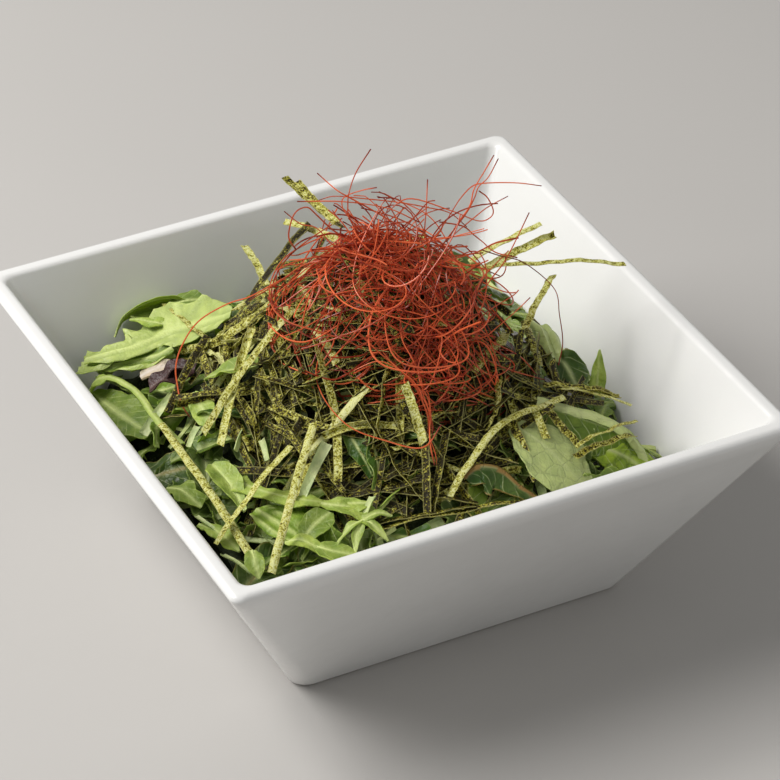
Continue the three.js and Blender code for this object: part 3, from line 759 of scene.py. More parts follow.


# leaves that show most, listed: spine, widths on its left and right from base to tip, tone, and bends
shownMizuna = [
    shaped([(-72, 66, 52), (-64, 62, 55), (-57, 59, 57), (-49, 58, 59), (-43, 55, 62), (-37, 49, 66),
           (-31, 42, 72)], [2, 4, 6, 6, 5, 6, 8, 9, 7, 3], [1, 2, 5, 4, 11, 8, 13, 16, 10, 14, 9, 3], 1,
           rib=1.3, cup=0.04, frill=0.7, sweep=-0.3, pleat=0.4, pale=0.4),
    shaped([(-73, 67, 50), (-68, 63, 52), (-62, 60, 54), (-55, 57, 56)], [6.5, 6, 4.5, 3.5, 2, 0.5],
           [6.5, 5.5, 4, 3, 2, 0.5], 0.95, rib=0.8, pleat=0.6, frill=0.2, sweep=0, cup=0.05, pale=0.35),
    shaped([(-70, 61, 51), (-62, 56, 54), (-54, 51, 57), (-49, 49, 60)], [1, 3, 4.5, 4, 3, 1],
           [1, 3, 4, 4.5, 3, 1], 0.8, rib=1.2, pleat=0.4, frill=0.3, roll=0.2),
    shaped([(-46, 62, 60), (-50, 66, 60), (-54, 71, 59)], [2.5, 2.2, 1.6, 0.9, 0.2], [2.5, 2.6, 2, 1, 0.2],
           1, rib=0.7),
    shaped([(-58, 75, 51), (-54, 76, 57), (-46, 76, 60), (-38, 75, 60), (-32, 71, 58)],
           [0, 0.5, 1, 1.5, 2, 1], [1, 7, 10, 9, 9, 5], 0.8, roll=-1.1, thickness=0.2, rib=0.9),
    shaped([(-40, 74, 58), (-34, 71, 60), (-28, 69, 60)], [1, 4, 5, 3, 0], [1, 4, 5, 4, 0], 0.25),
    shaped([(-42, 73, 54), (-47, 74, 55), (-52, 75, 57)], [2.5, 3, 2.5, 1.2, 0], [2.5, 2, 1.5, 0.8, 0],
           0.9),
    shaped([(-76, 55, 47), (-74, 53, 53), (-70, 49, 55), (-67, 37, 56), (-68, 19, 57), (-67, 3, 58)],
           [3.5, 5, 4, 1.4, 1, 0.9, 0.9, 0.9, 0.9, 0.8], [3.5, 4, 3, 1.4, 1, 0.9, 0.9, 0.9, 0.9, 0.8], 1,
           rib=0.9, crease=-0.4),
    shaped([(-75, 55, 47), (-74, 38, 50), (-71, 18, 53)], [2, 5, 7, 6, 2], [2, 6, 8, 6, 2], 0.45, roll=0.3),
    shaped([(-56, 18, 64), (-57, 9, 64), (-58, 0, 63)], [1, 3, 3.6, 3, 0.5], [1, 3.4, 4, 3, 0.5], 1,
           roll=0.4),
    shaped([(-40, 4, 78), (-46, 12, 73), (-52, 18, 68)], [3, 5, 4.5, 2, 0], [3, 5, 5, 3, 0], 0.5, cup=0.4),
    shaped([(-64, -36, 57), (-64, -25, 60), (-65, -15, 61)], [0.6, 2, 3.6, 4.2, 3.4, 1],
           [0.6, 2.4, 4, 4.8, 4, 1], 0.85, cup=0.5),
    shaped([(-64, -13, 59), (-60, -27, 60), (-53, -39, 61), (-41, -48, 60)],
           [2, 4, 5, 4, 3, 3, 3.5, 2.5, 0.8], [2, 3.5, 4, 2, 1.5, 3, 5, 3, 0.8], 1, sweep=-0.05, cup=-0.1,
           frill=0.5, rib=0.8),
    shaped([(-61, -38, 58), (-57, -49, 57), (-51, -60, 55)], [3, 5, 5, 3, 1], [2, 7, 9, 8, 4, 1], 0.85,
           cup=0.05, frill=0.6, sweep=0.1, fresh=0.35, pleat=0.3),
    shaped([(-27, -28, 72), (-26, -36, 69), (-25, -45, 63)], [1, 2, 3, 2, 1], [1, 3, 3, 2, 1], 0.05,
           roll=0.4, frill=1.2, rib=0.1),
    shaped([(-20, -33, 72), (-22, -42, 66), (-26, -50, 60)], [1, 3, 3, 2, 1], [1, 2, 3, 3, 1], 0.05,
           roll=-0.5, frill=1.4, rib=0.1),
    shaped([(-55, -57, 57), (-49, -54, 59), (-43, -52, 60)], [2, 5, 5, 4, 1], [2, 4, 5, 4, 1], 0.4, rib=1),
    shaped([(-44, -48, 61), (-38, -53, 61), (-32, -58, 60)], [1, 3, 4, 4, 2], [1, 3, 4.5, 4, 2], 0.95),
    shaped([(-36, -60, 60), (-34, -64, 60), (-32, -69, 57)], [1.2, 1.9, 1.6, 0.8, 0], [1.2, 2, 1.7, 0.8, 0],
           0.95),
    shaped([(-36, -60, 60), (-42, -61, 59), (-48, -65, 56)], [1, 1.3, 1, 0.6, 0], [1, 1.4, 1.1, 0.6, 0],
           0.85, roll=0.4),
    shaped([(-36, -60, 60), (-40, -64, 58), (-43, -69, 56)], [1, 1.6, 1.2, 0.6, 0], [1, 1.6, 1.2, 0.6, 0],
           0.7),
    shaped([(-30, -55, 61), (-36, -52, 61), (-43, -48, 60)], [0.5, 1, 1.2, 0.8, 0.3],
           [1, 3.5, 4.5, 2.6, 1.2, 0.3], 1, rib=0.8),
    shaped([(-36, -60, 60), (-31, -60, 61), (-27, -62, 60)], [1, 1.7, 1.5, 0.8, 0], [1, 1.7, 1.5, 0.8, 0],
           0.6),
    shaped([(-59, -54, 56), (-55, -59, 58), (-51, -65, 56)], [1, 2.6, 3, 2, 0], [1, 2.4, 3, 2, 0], 0.95),
    shaped([(-53, -61, 57), (-49, -66, 57), (-43, -70, 56)], [1, 4, 5, 4, 1], [1, 4, 4, 3, 1], 0.7),
    shaped([(-71, -56, 58), (-73, -62, 59), (-74, -67, 56)], [1, 2.4, 3, 2, 0], [1, 2.4, 2.6, 2, 0], 0.75),
    shaped([(-78, -10, 53), (-76, -17, 56), (-74, -26, 55)], [1, 4, 3, 5, 2, 0], [1, 3, 5, 3, 4, 0], 0.5),
    shaped([(-77, -31, 53), (-75, -41, 56), (-73, -51, 55)], [1, 2, 3, 2, 3, 0], [1, 2, 3, 3, 2, 0], 0.8),
    shaped([(64, -26, 52), (65, -25, 60), (66, -24, 68)], [2.6, 2.8, 2.2, 1.2, 0], [2.2, 2.4, 2, 1, 0],
           0.95, roll=0.6, frill=0.1, rib=0.5),
]
shownBroad = [
    shaped([(24, -45, 66), (29, -55, 63), (33, -64, 58), (38, -69, 52)], [3, 8, 11, 12, 11, 8, 2],
           [4, 9, 12, 13, 12, 8, 3], 1, roll=-0.1, cup=-0.08, frill=0.4, sweep=0.02, rib=0.3, pale=0.45),
    shaped([(36, -38, 67), (46, -43, 63), (55, -49, 60), (60, -56, 56), (62, -62, 50), (60, -67, 46)],
           [1.2, 1.4, 1.5, 1.5, 1.3, 1], [1.6, 1.8, 1.6, 1.4, 1.2, 1], 0.9, roll=0.3, cup=-0.35, frill=0.1,
           sweep=0, rib=4.0),
    shaped([(36, -39, 66), (46, -44, 62), (55, -50, 58), (60, -56, 54)], [4, 9, 11, 9, 5],
           [0.3, 0.3, 0.3, 0.3], 0.14, roll=0.1, cup=-0.45, frill=0.5, sweep=0.0, rib=0.5, fresh=0.2),
    shaped([(47, -52, 55), (53, -57, 54), (58, -62, 51), (60, -67, 47)], [3, 6, 7, 6, 3], [4, 7, 8, 6, 3],
           0.9, cup=-0.15, frill=1.1, roll=0.3, fresh=0.8),
    shaped([(0, -57, 62), (5, -56, 64), (12, -58, 62), (16, -64, 58), (22, -69, 53)], [3, 7, 9, 6, 3, 1],
           [0.3, 0.4, 0.4, 0.4, 0.3], 0.05, brown=1, roll=0.1, cup=-0.5, frill=0.5, sweep=0),
    shaped([(56, -12, 62), (57, -19, 61), (57, -27, 57)], [2, 5, 6, 5, 2], [2, 5, 6, 5, 2], 0.14, roll=0.2,
           frill=1.8),
    shaped([(58, 5, 63), (56, -5, 66), (53, -17, 64)], [2, 4, 5, 4.5, 3], [2, 4, 4.5, 4, 2], 1, roll=0.1,
           cup=-0.5, frill=0.5, rib=1, pleat=0.7, pale=0.55),
    shaped([(38, 0, 86), (46, 6, 78), (52, 12, 69)], [2, 4, 5, 4, 2], [2, 4, 5, 4, 2], 0.1, roll=0.2,
           cup=-0.2, frill=1),
    shaped([(43, -40, 60), (44, -48, 58), (42, -57, 54)], [2, 4, 6, 5, 2], [2, 5, 6, 4, 2], 0.12),
]


# a leaf whose shape is listed is finer than a strewn one
def addShown(pile, draw, leaf, look):
    settings = {"thickness": look["thickness"], "columns": look["columns"] + look["shownColumns"], **leaf}
    path = smoothPath(settings.pop("spine"), look["rows"] + look["shownRows"])
    addBlade(pile, draw, path, **settings)
    return path


def makeMizuna():
    draw = random.Random(11)
    pile = newPile()
    for leaf in shownMizuna:
        path = addShown(pile, draw, leaf, mizuna)
        addRib(pile, path - np.array([0, 0, 0.1]), leaf.get("rib", 1.2), 0.25, 0.9)
    for _ in range(mizuna["count"]):
        x, y = leafPlace(draw)
        path, height = looseSpine(draw, mizuna, x, y, draw.uniform(*mizuna["length"]))
        tone = draw.uniform(0.05, 1) ** 1.4 * (0.25 + 0.75 * height)      # painted shade: darker deep down
        addMizuna(pile, draw, path, draw.uniform(*mizuna["width"]), tone, draw.gauss(0, 0.5))
    for _ in range(mizuna["onSlope"]):
        path = slopeSpine(draw, mizuna)
        width = draw.uniform(*mizuna["slopeWidth"])
        addMizuna(pile, draw, path, width, draw.uniform(0.1, 0.8), draw.gauss(0, 0.4))
    makeGreens("mizunaLeaves", pile, "mizunaGreen", mizuna)


def makeLettuce():
    draw = random.Random(17)
    pile = newPile()
    for leaf in shownBroad:
        addShown(pile, draw, leaf, lettuce)
    for _ in range(lettuce["count"]):
        x, y = leafPlace(draw)
        if x > 44 and -62 < y < -8:      # kept for the listed leaves
            continue
        behind = x > 10 and y > -20
        length = draw.uniform(*lettuce["length"]) * (0.6 if behind else 1)
        path, height = looseSpine(draw, lettuce, x, y, length)
        width = draw.uniform(*lettuce["width"]) * (0.65 if behind else 1)
        # painted shade: a leaf lower in the heap is darker
        tone = draw.uniform(0, 0.65) * (0.4 + 0.6 * height)
        roll = draw.gauss(0, 0.45)
        brown = 0.6 if draw.random() < lettuce["brownShare"] else 0
        addBroad(pile, draw, path, width, tone, roll, brown, draw.uniform(0.8, 2.2), draw.uniform(-0.2, 0.4))
    for _ in range(lettuce["onSlope"]):
        path = slopeSpine(draw, lettuce)
        width, tone = draw.uniform(*lettuce["slopeWidth"]), draw.uniform(0, 0.4)
        roll, ruffle = draw.gauss(0, 0.3), draw.uniform(0.8, 2)
        addBroad(pile, draw, path, width, tone, roll, 0, ruffle, draw.uniform(-0.2, 0.3))
    makeGreens("lettuceLeaves", pile, "lettuceGreen", lettuce)


# the ones that show: start, end and width, which is left to chance where it is None
shownPurple = [
    ((-62, 38, 55), (-50, 32, 61), None),
    ((-57, 38, 58), (-49, 32, 62), None),
    ((34, -3, 89), (40, -19, 79), 14),
    ((50, 3, 75), (57, 9, 66), None),
    ((50, -17, 66), (58, -23, 60), None),
]


# a short path between two points, a little higher in its middle
def archedPath(start, end, rise, steps):
    return smoothPath([start, np.add(start, end) / 2 + np.array([0, 0, rise]), end], steps)


def makePurpleBits():
    draw = random.Random(23)
    pile = newPile()
    steps = 18
    for k in range(purpleBits["count"]):
        width = None
        if k < len(shownPurple):
            start, end, width = shownPurple[k]
            path = archedPath(start, end, 1.5, steps)
        else:
            x, y = leafPlace(draw)
            path = leafSpine(draw, abs(x), abs(y), draw.uniform(0, 6.3), draw.uniform(8, 18),
                             draw.uniform(-1, 2), draw.uniform(0, 3), 2, steps)
        width = width or draw.uniform(6, 11)
        addBroad(pile, draw, path, width, draw.uniform(0, 1), draw.gauss(0, 0.5) * (k > 3), 0, 1.8, 0.2)
    makeGreens("purpleLeaves", pile, "purpleLeaf", purpleBits)


stalks = {
    "count": 60,
    "steps": 14,
    "length": (12, 34),
    "width": (1.6, 3.6),
    "light": (0.78, 0.85, 0.46),
    "dark": (0.40, 0.54, 0.14),
    "rib": (0.84, 0.88, 0.60),
    "through": (0.62, 0.76, 0.22),
}
# start, end, width and tone of the stalks that show
shownStalks = [
    ((-34, -32, 70), (-48, -42, 60), 3.5, 1.0),
    ((-62, 53, 53), (-49, 47, 58), 2.8, 0.8),
    ((-73, 19, 53), (-59, 27, 59), 3.3, 0.9),
    ((-77, -29, 55), (-73, -51, 55), 1.8, 0.9),
    ((-78, -50, 55), (-75, -63, 56), 2.0, 0.8),
    ((-61, 4, 62), (-67, -2, 60), 2.2, 0.9),
    ((-51, -8, 64), (-56, -13, 62), 2.6, 0.9),
    ((-48, -15, 65), (-50, -23, 63), 2.4, 0.7),
    ((-29, -53, 62), (-35, -59, 60), 2.4, 0.8),
]
# half the outline of a cut stalk: a shallow gutter in section, with a ribbed back
gutter = [(0.2, -0.1), (0.62, 0.02), (1, 0.25), (0.86, -0.2), (0.56, -0.46), (0.3, -0.52), (0.12, -0.62)]


def stalkMesh(path, halves, roll):
    section = [(-a, b) for a, b in gutter[2::-1]] + gutter + [(-a, b) for a, b in gutter[:2:-1]]
    _, flat, up = turnedFrames(path, roll)
    rings = [path + (flat * a + up * b) * halves[:, None] for a, b in section]
    faces, index = skinFaces(len(path), len(section), True)
    return np.stack(rings, 1).reshape(-1, 3), [*faces, index[0].tolist(), index[-1][::-1].tolist()]


sliver = {
    "light": (0.80, 0.66, 0.48),
    "dark": (0.62, 0.55, 0.46),
    "rib": (0.84, 0.76, 0.68),
    "through": (0.70, 0.50, 0.42),
}


def makeSliver(draw):
    pile = newPile()
    path = smoothPath([(-61, 48, 53), (-56, 46, 56), (-51, 44, 57)], 14)
    addBlade(pile, draw, path, [1.5, 2.4, 2.6, 2.2, 1.2], [1.5, 2.2, 2.4, 2, 1], 0.7, 7, 0.6, 0.3)
    makeGreens("pinkSliver", pile, "pinkFlesh", sliver)


def makeStalks():
    draw = random.Random(29)
    pile = newPile()
    steps = stalks["steps"]
    t = np.linspace(0, 1, steps)
    for k in range(stalks["count"]):
        if k < len(shownStalks):
            start, end, width, tone = shownStalks[k]
            path = archedPath(start, end, 0.8, steps)
        else:
            x, y = leafPlace(draw)
            path = leafSpine(draw, x, y, draw.uniform(0, 6.3), draw.uniform(*stalks["length"]),
                             draw.uniform(-2, 3), draw.uniform(-2, 3), draw.uniform(0, 2), steps)
            width, tone = draw.uniform(*stalks["width"]), draw.uniform(0.2, 1)
        path = heldInside(path, width / 2 + 0.5)
        points, faces = stalkMesh(path, width / 2 * (1 - 0.25 * t), draw.gauss(0, 0.5))
        tones = np.clip(tone + 0.3 * (0.5 - t), 0, 1)
        addTo(pile, points, faces, tone=np.repeat(tones, len(points) // steps), rib=0.1, brown=0)
    makeGreens("cutStalks", pile, "paleStalk", stalks)
    makeSliver(draw)


makeMizuna()
makeLettuce()
makePurpleBits()
makeStalks()


nori = {
    "count": 380,
    "length": (10, 58),
    "long": 42,              # a longer strip than this lies lower and is painted darker, as shade
    "width": (1.7, 2.9),
    "thickness": 0.2,
    "steps": 20,
    "reach": 58,
    "stations": (-1, -0.74, 0, 0.74, 1),      # points across a strip
    "behindShare": 0.08,     # how many lie on the slope behind the tangle, against the rest
    "aroundShare": 0.72,     # how many lie around the heap, not down its sides
    "kinkedShare": 0.3,
    "raisedShare": 0.08,
    "lightShare": 0.1,
    "shownTone": 0.88,
    # painted shade for strips at the heap's front, and painted light for the rest
    "frontPaintedShade": 0.72,
    "backPaintedLight": 1.2,
    "dark": (0.015, 0.012, 0.003),
    "olive": (0.125, 0.10, 0.011),
    "yellow": (0.42, 0.385, 0.03),
    "pale": (0.70, 0.69, 0.16),
    "cream": (0.86, 0.87, 0.42),
    "edge": (0.62, 0.59, 0.20),
}

# strips that stand out, listed: start, end, rise of the middle, tone
shownStrips = [
    ((-69, 14, 59), (-72, -63, 56), 2, 0.95),
    ((-44, -27, 69), (-79, -47, 57), 2, 0.9),
    ((-36, -27, 75), (-70, -67, 57), 1, 1.0),
    ((-40, 74, 59), (-42, 34, 69), 0, 0.8),
    ((47, -34, 66), (66, -45, 60), 1, 0.9),
    ((42, -31, 67), (64, -41, 61), 1, 0.5),
    ((32, -42, 69), (31, -53, 64), 0, 0.8),
    ((36, -41, 67), (41, -55, 60), 0, 0.45),
    ((39, -57, 61), (63, -53, 60), 1, 0.7),
    ((23, -44, 68), (21, -65, 59), 1, 0.35),
    ((53, 2, 67), (45, -23, 68), 1, 0.55),
    ((-9, -35, 86), (-9, -48, 72), 1, 0.95),
    ((-31, -63, 58), (14, -71, 58), 1, 0.3),
    ((-43, -59, 57), (-2, -68, 59), 1, 0.2),
    ((1, -44, 71), (-14, -63, 57), 1, 0.1),
    ((-7, -45, 70), (-16, -64, 57), 1, 0.15),
    ((37, -61, 60), (60, -57, 58), 1, 0.6),
    ((35, -1, 95), (77, -19, 95), 1, 0.8),
    ((-12, 41, 118), (-4, 16, 112), -1, 0.55),
    ((-10, 37, 118), (-6, 17, 113), -0.5, 0.7),
    ((-14, 38, 104), (-4, 15, 106), 1, 1.0),
    ((-16, 64, 80), (-22, 32, 82), 2, 1.0),
    ((64, 12, 95), (37, 10, 90), 1, 1.0),
    ((67, 8, 92), (39, 6, 88), 1, 0.9),
    ((63, 2, 82), (43, -16, 78), 1, 0.8),
    ((-33, 27, 85), (-10, 28, 108), 1, 0.05),
    ((-42, 37, 70), (-64, 20, 58), 2, 0.1),
    ((-36, 16, 84), (-59, -8, 62), 2, 0.95),
    ((-26, 8, 92), (-61, 0, 62), 3, 0.9),
]
# the same for strips that bend: points and tone
bentStrips = [
    ([(45, -39, 66), (30, -44, 69), (18, -47, 70), (8, -52, 67), (-1, -57, 63), (-8, -61, 59)], 0.85),
]


def makeNoriLook():
    material, tree, shader = newMaterial("toastedNori")
    # grain, patches and the strip's own tone go through one ramp: dark flecks and pale thin places
    flecks = mathOf(tree, "MULTIPLY_ADD", rawNoise(tree, 520, 2), 0.55, rawNoise(tree, 1700, 3, 0.6))
    toned = mathOf(tree, "MULTIPLY_ADD", markOf(tree, "tone"), 0.34, flecks)
    ramp = addNode(tree, "ValToRGB", {"Fac": spreadOf(tree, toned, 0.69, 1.18)})
    stops = ramp.color_ramp.elements
    stops[0].position, stops[0].color = 0.26, (*nori["dark"], 1)
    stops[1].position, stops[1].color = 0.92, (*nori["cream"], 1)
    for position, name in ((0.40, "olive"), (0.55, "yellow"), (0.72, "pale")):
        stops.new(position).color = (*nori[name], 1)
    edged = mathOf(tree, "MULTIPLY", markOf(tree, "edge"), 0.6)
    color = mixColor(tree, edged, ramp.outputs["Color"], nori["edge"])
    feed(tree, shader, {"Base Color": color, "Roughness": 0.3, "Specular IOR Level": 0.36,
                        "Specular Tint": (1.0, 0.93, 0.70)})
    addBump(tree, shader, flecks, 0.9, 0.0006)
    letLightThrough(tree, shader, color, 0.25)
    return material


def addStrip(pile, draw, path, width, tone, twist):
    rows = len(path)
    t = np.linspace(0, 1, rows)
    tangents, flat, rise = turnedFrames(path, twist[0] + (twist[1] - twist[0]) * t)
    curl = draw.gauss(0, 0.14) * (1 + 0.9 * wave(draw, t))
    crumple = 0.9 * wave(draw, t, (4, 7, 11))
    stations = np.array(nori["stations"])
    grid = np.zeros((rows, len(stations), 3))
    sway = jitter(draw, 0.08, rows)
    for j, v in enumerate(stations):
        half = v * width / 2 * (1 + jitter(draw, 0.06, rows)) + sway
        up = curl * width * (v * v - 0.5) + crumple + jitter(draw, 0.12, rows)
        grid[:, j] = path + flat * half[:, None] + rise * up[:, None]
    slant = draw.uniform(-0.5, 0.5)
    for end in (0, -1):
        grid[end] += tangents[end] * (stations * slant)[:, None]
    points, faces = sheetMesh(heldInside(grid), nori["thickness"])
    addTo(pile, points, faces, tone=tone, edge=np.tile(np.abs(stations) == 1, rows * 2))


# a strip's path at random, and how much painted shade darkens it for how deep it lies
def strewnStrip(draw):
    while True:
        angle = draw.uniform(0, fullTurn)
        front = 0.5 + 0.5 * math.cos(angle - heap["frontward"] - 0.3)
        reach = nori["reach"] * math.sqrt(draw.random())
        x, y = heapPlace(angle, reach)
        behind = x > 26 and -26 < y < 32
        if draw.random() < (0.5 + 0.5 * front) * (nori["behindShare"] if behind else 1):
            break
    if draw.random() < nori["aroundShare"]:
        heading = angle + math.pi / 2 + draw.gauss(0, 0.42)
    else:
        heading = angle + draw.gauss(0, 0.7)
    length = draw.uniform(*nori["length"]) * (1 if reach > 20 else 0.8)
    t = np.linspace(-0.5, 0.5, nori["steps"])
    bend = draw.gauss(0, 0.16)
    sideways = bend * (t * t - 0.08)
    if draw.random() < nori["kinkedShare"]:
        sideways = sideways + draw.gauss(0, 0.5) * np.clip(t - draw.uniform(-0.2, 0.3), 0, 1)
    px = x + length * (t * math.cos(heading) - sideways * math.sin(heading))
    py = y + length * (t * math.sin(heading) + sideways * math.cos(heading))
    isLong = length >= nori["long"]
    layer = draw.triangular(-4, 1 if isLong else 4, 0.5)
    ends = draw.uniform(-2, 3) * (t + 0.5) ** 2 + draw.uniform(-2, 3) * (0.5 - t) ** 2
    if draw.random() < nori["raisedShare"]:
        ends = ends + draw.uniform(4, 10) * (0.5 + t) ** 2
    path = layOver(noriLevel, px, py, draw.uniform(0.1, 0.8), layer + ends + 0.5 * wave(draw, t))
    # painted shade: a strip lower in the heap is darker, and a long one, lying low, more so
    share = 0.3 + 0.75 * min(max((layer + 2.5) / 4.5, 0), 1)
    return path, share * (0.5 if isLong else 1)


def makeNori():
    draw = random.Random(41)
    pile = newPile()
    t = np.linspace(0, 1, nori["steps"] + 4)
    for start, end, rise, tone in shownStrips:
        path = np.outer(1 - t, start) + np.outer(t, end)
        path[:, 2] += rise * np.sin(math.pi * t) + 0.35 * wave(draw, t)
        twist = draw.uniform(-0.35, 0.35)
        addStrip(pile, draw, path, draw.uniform(2.3, 2.9), nori["shownTone"] * tone,
                 (twist, twist + draw.uniform(-0.4, 0.4)))
    for points, tone in bentStrips:
        addStrip(pile, draw, smoothPath(points, nori["steps"] + 10), 2.6, tone, (-0.1, 0.2))
    for _ in range(nori["count"]):
        twist = draw.gauss(0, 0.5)
        path, share = strewnStrip(draw)
        x, y, _ = path[len(path) // 2]
        # painted shade on strips at the heap's front, painted light on the rest
        share *= nori["frontPaintedShade"] if y < -6 and x > -34 else nori["backPaintedLight"]
        tone = draw.uniform(0.7, 1) if draw.random() < nori["lightShare"] else draw.random() ** 1.6
        addStrip(pile, draw, path, draw.uniform(*nori["width"]), share * tone,
                 (twist, twist + draw.gauss(0, 0.7)))
    makePiece("noriStrips", pile, makeNoriLook(), "nori_shreds", 40)


makeNori()


chili = {
    "bundles": 60,
    "inBundle": (2, 6),
    "width": 0.5,
    "sides": 5,
    "steps": 36,
    "length": (20, 92, 42),
    "middle": (6, -2),
    "widest": -0.47,             # direction of the tangle's long side, in radians
    "alongShare": 0.55,          # how many bundles run along it
    "knots": ((-1, 2, 0.42), (6, -22, 0.34), (-17, 10, 0.24)),      # where threads gather, and their shares
    "spread": (9, 7),
    "reach": (36, 32),
    "height": 8,
    "top": 128,
    "behindDrop": 0.45,          # how much lower the top gets for each millimetre behind the middle
    "gather": 0.85,              # share of the reach beyond which threads are drawn back, and how fast
    "gatherSoft": 0.30,
    "hopShare": 0.22,            # how many threads spring up between their ends
    "standShare": 0.20,          # how many stand up at one end
    "darkTones": (0, 0.35),
    "lightTones": (0.5, 1),
    "light": (1.0, 0.25, 0.09),
    "dark": (0.13, 0.003, 0.004),
    "mottled": (0.85, 0.24, 0.08),
    "through": (1.0, 0.20, 0.05),
    "tip": (0.040, 0.010, 0.010),
    "blackThread": 1,            # which of the shown threads is dark all along
}

shownThreads = [
    [(-20, 14, 102), (-28, 15, 99), (-36, 17, 95), (-41, 22, 91), (-47, 27, 85), (-51, 29, 80),
     (-56, 27, 75), (-59, 24, 71), (-60, 21, 67), (-61, 16, 63), (-60, 12, 60)],
    [(30, -11, 109), (35, -14, 107), (42, -17, 104), (50, -22, 95), (51, -24, 86), (49, -30, 80),
     (46, -33, 74)],
    [(-18, 20, 123), (-6, 12, 124), (5, 4, 123), (13, -2, 119)],
    [(-11, 19, 122), (-7, 16, 124), (0, 11, 124), (10, 5, 123), (17, 0, 122), (23, -3, 120),
     (27, -7, 116)],
    [(4, 9, 128), (0, 11, 127), (-5, 13, 125), (-6, 13, 122), (-5, 11, 119), (-2, 8, 114)],
    [(8, 21, 134), (1, 17, 130), (-4, 12, 127), (-5, 11, 123), (-5, 10, 119), (-3, 7, 113)],
    [(-8, 26, 127), (-7, 15, 127), (-4, 12, 125), (1, 7, 122), (8, 1, 117), (13, -5, 112)],
    [(20, 6, 128), (17, 1, 121), (16, 0, 113), (16, -3, 108)],
    [(-22, 21, 120), (-18, 18, 116), (-14, 15, 115), (-11, 10, 111), (-7, 5, 106)],
    [(-21, 15, 109), (-22, 18, 112), (-21, 18, 118), (-19, 18, 121), (-16, 17, 122), (-14, 15, 120),
     (-10, 12, 115), (-6, 9, 112), (-1, 3, 110)],
    [(4, 4, 121), (12, 3, 125), (23, -3, 121), (30, -8, 118), (33, -10, 119), (34, -11, 122), (33, -9, 126),
     (31, -7, 128)],
    [(48, -16, 130), (42, -11, 130), (34, -7, 130), (30, -5, 129), (26, -5, 126), (24, -4, 122),
     (20, -3, 115), (14, -4, 111)],
    [(41, 2, 133), (36, -1, 130), (31, -4, 127), (29, -5, 122), (25, -5, 117), (21, -5, 111)],
    [(42, 1, 132), (36, -4, 130), (32, -5, 128), (30, -6, 125), (27, -6, 120), (21, -5, 112),
     (15, -6, 106)],
    [(39, -11, 126), (34, -8, 122), (30, -8, 120), (25, -6, 115), (20, -5, 111), (14, -4, 108)],
    [(40, -16, 106), (34, -13, 108), (31, -10, 111), (29, -8, 113), (26, -6, 116), (20, -2, 117)],
    [(42, -13, 111), (35, -11, 110), (30, -10, 108), (25, -9, 107), (17, -8, 107), (9, -4, 108)],
    [(45, -14, 120), (40, -15, 112), (36, -15, 105), (31, -16, 101), (28, -17, 99), (23, -17, 98)],
    [(-34, 22, 90), (-27, 18, 96), (-20, 14, 103), (-15, 10, 106), (-8, 4, 107)],
    [(-29, 17, 92), (-24, 14, 98), (-16, 10, 106), (-6, 5, 108), (4, -2, 107)],
    [(-16, -8, 102), (-22, -12, 90), (-27, -14, 85), (-26, -19, 82), (-21, -23, 83), (-14, -23, 87),
     (-7, -23, 89)],
    [(-16, -8, 100), (-27, -12, 86), (-30, -20, 80), (-28, -34, 76), (-20, -44, 74), (-11, -51, 73),
     (-3, -48, 77)],
    [(-10, -57, 70), (-8, -50, 74), (-1, -36, 79), (-3, -32, 83), (-6, -28, 86), (-9, -24, 89),
     (-9, -19, 93), (-8, -14, 97)],
    [(15, -37, 76), (11, -35, 80), (8, -31, 84), (5, -26, 89), (5, -21, 94), (3, -15, 98)],
    [(41, -28, 69), (37, -25, 75), (30, -24, 81), (24, -23, 86), (23, -18, 90), (19, -12, 95)],
    [(44, -28, 66), (31, -30, 75), (23, -29, 81), (18, -24, 87), (17, -17, 93)],
    [(46, -14, 88), (40, -16, 86), (31, -20, 85), (24, -24, 86), (18, -24, 89)],
    [(-28, 5, 88), (-30, 12, 87), (-28, 19, 88), (-24, 21, 90), (-18, 14, 97)],
    [(-16, -18, 92), (-10, -20, 94), (-2, -19, 97), (7, -17, 99), (13, -16, 98)],
    [(-7, -12, 100), (-6, -18, 96), (-4, -23, 93), (-2, -28, 88), (-1, -35, 82)],
    [(3, -16, 101), (-2, -19, 99), (-3, -23, 95), (0, -27, 92), (4, -28, 90)],
    [(-13, -21, 96), (-10, -29, 90), (-6, -34, 86), (-5, -37, 83), (-4, -41, 79), (-5, -44, 75),
     (-6, -46, 72), (-6, -50, 68), (-7, -53, 63)],
    [(-17, -15, 98), (-13, -24, 93), (-9, -30, 89), (-6, -35, 85), (-5, -39, 81), (-5, -43, 77),
     (-6, -45, 73)],
    [(-26, -20, 83), (-20, -23, 87), (-13, -26, 90), (-8, -32, 88), (-5, -37, 84), (-5, -40, 80),
     (-4, -43, 76), (-5, -46, 72)],
    [(-4, -22, 99), (-5, -26, 95), (-4, -30, 91), (-3, -34, 86), (-4, -38, 82), (-4, -42, 78),
     (-4, -45, 73)],
    [(3, -28, 92), (-2, -31, 89), (-4, -36, 85), (-3, -39, 81), (-4, -43, 77), (-6, -45, 73)],
    [(-10, -20, 97), (-8, -27, 92), (-4, -32, 89), (1, -34, 85), (5, -37, 82), (10, -37, 79),
     (14, -38, 75)],
    [(-1, -25, 96), (1, -29, 91), (4, -34, 86), (6, -38, 81), (12, -39, 77), (18, -40, 72)],
]


def makeChiliLook():
    material, tree, shader = newMaterial("driedChili")
    tone = mixColor(tree, markOf(tree, "tone"), chili["dark"], chili["light"])
    mottled = mixColor(tree, noiseOf(tree, 300, 2), tone, chili["mottled"])
    color = mixColor(tree, markOf(tree, "tip"), mixColor(tree, 0.35, tone, mottled), chili["tip"])
    feed(tree, shader, {"Base Color": color, "Roughness": 0.3, "Specular IOR Level": 0.45})
    addBump(tree, shader, noiseOf(tree, 1800, 2), 0.1, 0.0001)
    letLightThrough(tree, shader, chili["through"], 0.38)
    return material


